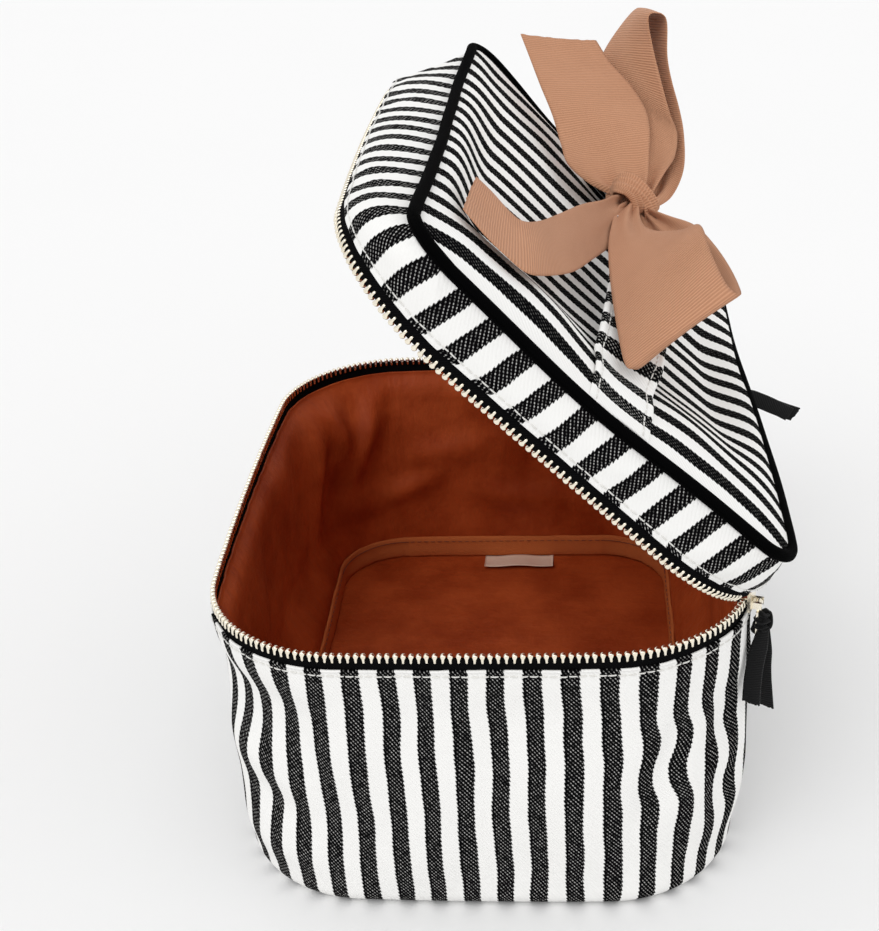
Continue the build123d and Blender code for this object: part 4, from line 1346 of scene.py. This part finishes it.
def ribbon(left, right, count, bow=flat_ribbon, across=26, width=RIBBON_W, thick=0.55, cut=0.0, seed=0):
    """A ribbon between two selvedges, given as matching points in millimetres."""
    left, right = smoothed(spline(left, count), 3), smoothed(spline(right, count), 3)
    w = np.linspace(0, 1, across)[:, None, None]
    sheet = left[None] * (1 - w) + right[None] * w
    t = np.linspace(0, 1, count)[None, :]
    along, normal = run_and_normal(sheet)
    sheet = sheet + normal * bow(t, w[..., 0])[..., None]
    if cut:
        random = np.random.default_rng(seed)
        ragged = random.uniform(-0.25, 0.25, across) + cut * (np.arange(across) / (across - 1) - 0.5)
        way = unit(along[:, -1])
        fade = (np.arange(count) / (count - 1)) ** 8
        sheet = sheet + way[:, None] * (ragged[:, None] * fade[None])[..., None]
    _, normal = run_and_normal(sheet)
    edge = np.minimum(w[..., 0], 1 - w[..., 0]) * width
    half = thick / 2 * (1 + 0.35 * np.exp(-((edge / 0.7) ** 2))) * np.sqrt(np.clip(edge / 0.25, 0.08, 1.0))
    half = half * np.ones((1, count))
    half[:, 0] = half[:, -1] = 0.02
    face = sheet + normal * half[..., None]
    back = sheet - normal * half[..., None]
    middle = (left + right) / 2
    run = distances(middle)
    u = np.broadcast_to(run[None, :], (2 * across, count))
    v = np.concatenate([w[:, :, 0], w[::-1, :, 0]]) * width
    v = np.broadcast_to(v, (2 * across, count))
    return grid(np.concatenate([face, back[::-1]]), u, v, wrap_rows=True)


def on_top(rows):
    """Points over the shut lid: x, y and height above the top's seam."""
    return [(x, y, TOP_FACE + h) for x, y, h in rows]


LOOP_NEAR = (
    ((-31, -4, 16), (-32, 0, 19)),
    ((-20, -8, 14), (-18, 3, 18)),
    ((14, -11, 12), (0, 4, 23)),
    ((40, -11, 11), (18, 5, 33)),
    ((66, -8, 9), (33, 4, 41.5)),
    ((86, -3.5, 6.5), (48, 9, 40)),
    ((97.5, 0.8, 4.5), (62, 16, 38.5)),
    ((99, 3.4, 5), (65, 20.5, 39)),
    ((92, 7.5, 6.5), (60, 23, 39.5)),
    ((60, 14, 9), (40, 21, 39)),
    ((35, 14, 10), (20, 16.5, 37.5)),
    ((5, 11, 12), (0, 12.5, 34)),
    ((-18, 7, 14), (-16, 8, 27)),
    ((-32, 3, 16), (-32, 4, 20)),
)
LOOP_FAR = (
    ((-44, -3, 18), (-41, 4, 21)),
    ((-62, -14, 22), (-54, 4, 31)),
    ((-80, -24, 27), (-62, 4, 37)),
    ((-97, -30, 30), (-71, 0, 43)),
    ((-110, -33, 31), (-78, -7, 46)),
    ((-122, -34, 33), (-88, -18, 52)),
    ((-130, -36, 41), (-98, -28, 58)),
    ((-136, -37, 54), (-104, -36, 64)),
    ((-138, -36, 60), (-106.5, -34, 67.5)),
    ((-137, -33, 57), (-107, -29, 68)),
    ((-131, -26, 47), (-100, -20, 59)),
    ((-122, -20, 40), (-92, -13, 54)),
    ((-110, -13, 34), (-82, -4, 49)),
    ((-96, -6, 29), (-73, 3, 44)),
    ((-79, 0, 25), (-61, 10, 36)),
    ((-60, 3, 21), (-50, 11.5, 27)),
    ((-43, 2, 18), (-40, 7, 21)),
)
TAIL_FAR = (
    ((-38, -7, 15), (-38, -1, 20)),
    ((-46, -17, 9), (-45, -1, 25)),
    ((-54, -27, 7), (-58, -5, 31)),
    ((-63, -33, 9), (-70, -10, 37)),
    ((-75, -42, 13), (-80, -15, 40)),
    ((-88, -52, 16), (-92, -24, 41)),
    ((-100, -61, 19), (-104, -34, 40)),
    ((-111, -70, 22), (-114, -43, 41)),
)
TAIL_NEAR = (
    ((-36, -6, 16), (-34, 0, 14)),
    ((-24, -12, 16), (-14, 0, 12)),
    ((-6, -18, 16), (14, -8, 10)),
    ((18, -28, 15), (43, -17, 9)),
    ((46, -38, 13), (71, -26, 8.5)),
    ((65, -45, 12), (94, -37, 8)),
    ((74, -51, 10.5), (104, -45, 7)),
    ((70, -56, 9), (105, -54, 7)),
    ((63, -63, 8), (102, -62, 6.5)),
    ((58, -70, 7), (95, -71, 6)),
)


def gathers(depth, folds, reach, seed, both_ends=False):
    """Pleats that fan out from the knot and fade with the distance from it."""

    def shape(t, w):
        away = np.minimum(t, 1 - t) if both_ends else t
        fade = np.exp(-((away / reach) ** 2))
        pleat = np.cos(2 * math.pi * folds * (w + 0.08 * np.sin(9 * t)))
        soft = 0.8 * np.sin(math.pi * w) * np.sin(2.2 * math.pi * t + seed)
        return depth * fade * pleat + soft

    return shape


def make_bow():
    pieces = (
        ("bow_loop_near_ribbon", LOOP_NEAR, 170, gathers(1.3, 2.5, 0.13, 0.6, True), 0.0, "bow_loop_near"),
        ("bow_loop_far_ribbon", LOOP_FAR, 190, gathers(1.2, 2.5, 0.11, 2.0, True), 0.0, "bow_loop_far"),
        ("bow_tail_far_ribbon", TAIL_FAR, 110, gathers(1.5, 2.2, 0.26, 1.0), 1.5, "bow_tail_far"),
        ("bow_tail_near_ribbon", TAIL_NEAR, 150, gathers(1.1, 2.0, 0.18, 4.2), 1.2, "bow_tail_near"),
    )
    for name, pairs, count, bow, cut, node in pieces:
        left = on_top([pair[0] for pair in pairs])
        right = on_top([pair[1] for pair in pairs])
        parts = ribbon(left, right, count, bow, cut=cut, seed=len(name))
        obj = lid_piece(name, parts, M_BOW, "bow_ribbon", node)


KNOT_AT = np.array([-36.0, -2.0, TOP_FACE + 18.7])


def pleated_ring(centre, axis, sideways, radii, half_width, pleats, bulge, swirl, seed):
    """Ribbon drawn round an axis: a ring whose face is pleated along its length."""
    axis = np.asarray(axis, float) / np.linalg.norm(axis)
    side = np.asarray(sideways, float)
    side = side - axis * side.dot(axis)
    side = side / np.linalg.norm(side)
    up = np.cross(axis, side)
    theta = np.linspace(0, 2 * math.pi, 96, endpoint=False)[None, :]
    w = np.linspace(-1, 1, 40)[:, None]
    crown = bulge * np.sqrt(np.clip(1 - w**2, 0, 1))
    fold = 0.55 * np.cos(math.pi * pleats * w + swirl * np.sin(theta) + 0.6 * np.sin(2 * theta + seed))
    pinch = 1 + 0.14 * np.cos(2 * theta + 0.7) + 0.06 * np.sin(3 * theta + seed)
    outer = crown + fold * (1 - w**8)
    inner = 0.4 * crown - 0.5
    parts = []
    for level, ww in ((outer, w), (inner[::-1], w[::-1])):
        x = half_width * ww * pinch
        b = (radii[0] + level) * np.cos(theta)
        c = (radii[1] + level) * np.sin(theta)
        parts.append(centre + x[..., None] * axis + b[..., None] * side + c[..., None] * up)
    rows = np.concatenate(parts)
    u = np.broadcast_to(theta * 9.0, rows.shape[:2])
    v = np.broadcast_to(np.concatenate([w, w[::-1]]) * half_width * 1.6, rows.shape[:2])
    return grid(rows, u, v, wrap_rows=True, wrap_columns=True, wrap_u=9.0 * 2 * math.pi)


def make_knot():
    over_at = KNOT_AT + np.array([3.2, -2.5, -0.9])
    wrap_at = np.array([-38.0, STRAP_Y, float(arch(-38.0)) + 1.1])
    # centre, axis, sideways, radii, half width, pleats, bulge, swirl, seed
    rings = (
        (KNOT_AT, (0.90, -0.10, -0.42), (0.0, 1.0, 0.06), (8.6, 4.2), 6.4, 3.4, 2.0, 0.9, 1.0),
        (over_at, (0.80, -0.45, -0.40), (0.3, 1.0, 0.1), (5.6, 3.0), 4.6, 2.4, 1.7, 1.2, 2.2),
        (wrap_at, (1.0, 0.0, 0.05), (0, 1, 0), (12.6, 1.4), 6.0, 3.0, 1.2, 0.5, 3.0),
    )
    knot = joined([pleated_ring(*numbers) for numbers in rings])
    lid_piece("knot_wrap", knot, M_BOW, "bow_ribbon", "bow_knot")


make_knot()
make_bow()


# ---- metal and pulls ----
def repaint(material, *names):
    for name in names:
        for entry in NODES[name].material_slots:
            entry.material = material


repaint(M_METAL, "slider_near", "slider_far", "pull_tab_near", "pull_tab_far", "zip_end_stops")
repaint(M_BOARD, "base_board")

# the rim's back corners, where the CAD model parks the sliders and hangs their tabs
CORNER = np.array([73.344, 46.0])
PARKED = math.radians(17.0)
PULL_X = CORNER_R + 3.25
LUG_Z = RIM_Z - 4.0
TAB_SLOT = LUG_Z - 12.5


def at_corner(points, side, lift):
    """From the slider's own frame (out, along, up) to its place on the rim."""
    points = np.asarray(points, float).copy()
    out, up = points[..., 0] - PULL_X, points[..., 2] - LUG_Z
    c, s = math.cos(lift), math.sin(lift)
    points[..., 0], points[..., 2] = out * c - up * s + PULL_X, up * c + out * s + LUG_Z
    turn = math.pi / 2 - side * PARKED
    c, s = math.cos(turn), math.sin(turn)
    x = points[..., 0] * c - points[..., 1] * s + side * CORNER[0]
    y = points[..., 0] * s + points[..., 1] * c + CORNER[1]
    return np.stack([x, y, points[..., 2]], -1)


def tail_bow(t, w):
    return 0.4 * np.sin(math.pi * w)


def make_pull(name, side, lift, tails, node):
    """Ribbon through the tab's slot, a knot, and tails as (turn, sideways, away, droop, length)."""
    low, knot_z = TAB_SLOT, TAB_SLOT + 6.0
    x0 = PULL_X + 1.6
    parts = []
    for cheek, bend in ((1.6, 1.0), (-1.5, -1.0)):
        top = PULL_X + 0.2 * bend
        ends = (x0 + bend, -2.8, knot_z - 1)
        slot = (top, -1.3, low + 0.2)
        fold = (top + cheek * 0.8, -1.8, low + 1.2)
        rise = (top + cheek, -2.4, low + 3.0)
        left = [slot, fold, rise, ends]
        right = [(x, -y, z) for x, y, z in left]
        parts.append(ribbon(left, right, 24, across=14, width=3.0, thick=0.7))
    centre = np.array([x0, 0.0, knot_z])
    over = centre + (0.4, 0.2, -0.6)
    knots = (
        (centre, (0.1, 0.35, 1.0), (0.0, 1.0, 0.0), (3.2, 1.7), 3.0, 2.4, 1.0, 0.7, 1.0),
        (over, (0.5, 0.9, -0.45), (0, 0.2, 1.0), (2.8, 2.0), 2.4, 2.0, 0.9, 0.5, 2.0),
    )
    parts.extend(pleated_ring(*numbers) for numbers in knots)
    for turn, sideways, away, droop, length in tails:
        left, right = [], []
        for k in range(7):
            f = k / 6
            half = 1.8 + 1.8 * min(1.0, f * 3.2)
            facing = math.radians(turn)
            out, along = half * math.sin(facing), half * math.cos(facing)
            x = x0 + away * f - droop * f * f + 0.5 * math.sin(5.0 * f + sideways)
            y = sideways * f
            z = knot_z - 1.0 - length * f
            left.append((x - out, y - along, z + 0.12 * half))
            right.append((x + out, y + along, z - 0.12 * half))
        parts.append(ribbon(left, right, 60, tail_bow, across=14, width=10.0, cut=3.0))
    points, faces, uvs = joined(parts)
    body = "zip_pull_near" if side > 0 else "zip_pull_far"
    build(name, at_corner(points, side, lift), faces, uvs, M_PULL, body, "pull_ribbon", [node])


NEAR_TAILS = ((52.0, -11.0, -1.0, 0.0, 28.0), (78.0, 2.0, 1.2, 0.0, 37.0))
FAR_TAILS = ((60.0, 1.0, 1.6, 1.2, 37.0), (56.0, -1.0, 1.4, 1.4, 33.0))
make_pull("pull_ribbon_near_cloth", 1, 0.0, NEAR_TAILS, "pull_ribbon_near")
make_pull("pull_ribbon_far_cloth", -1, math.radians(62.0), FAR_TAILS, "pull_ribbon_far")
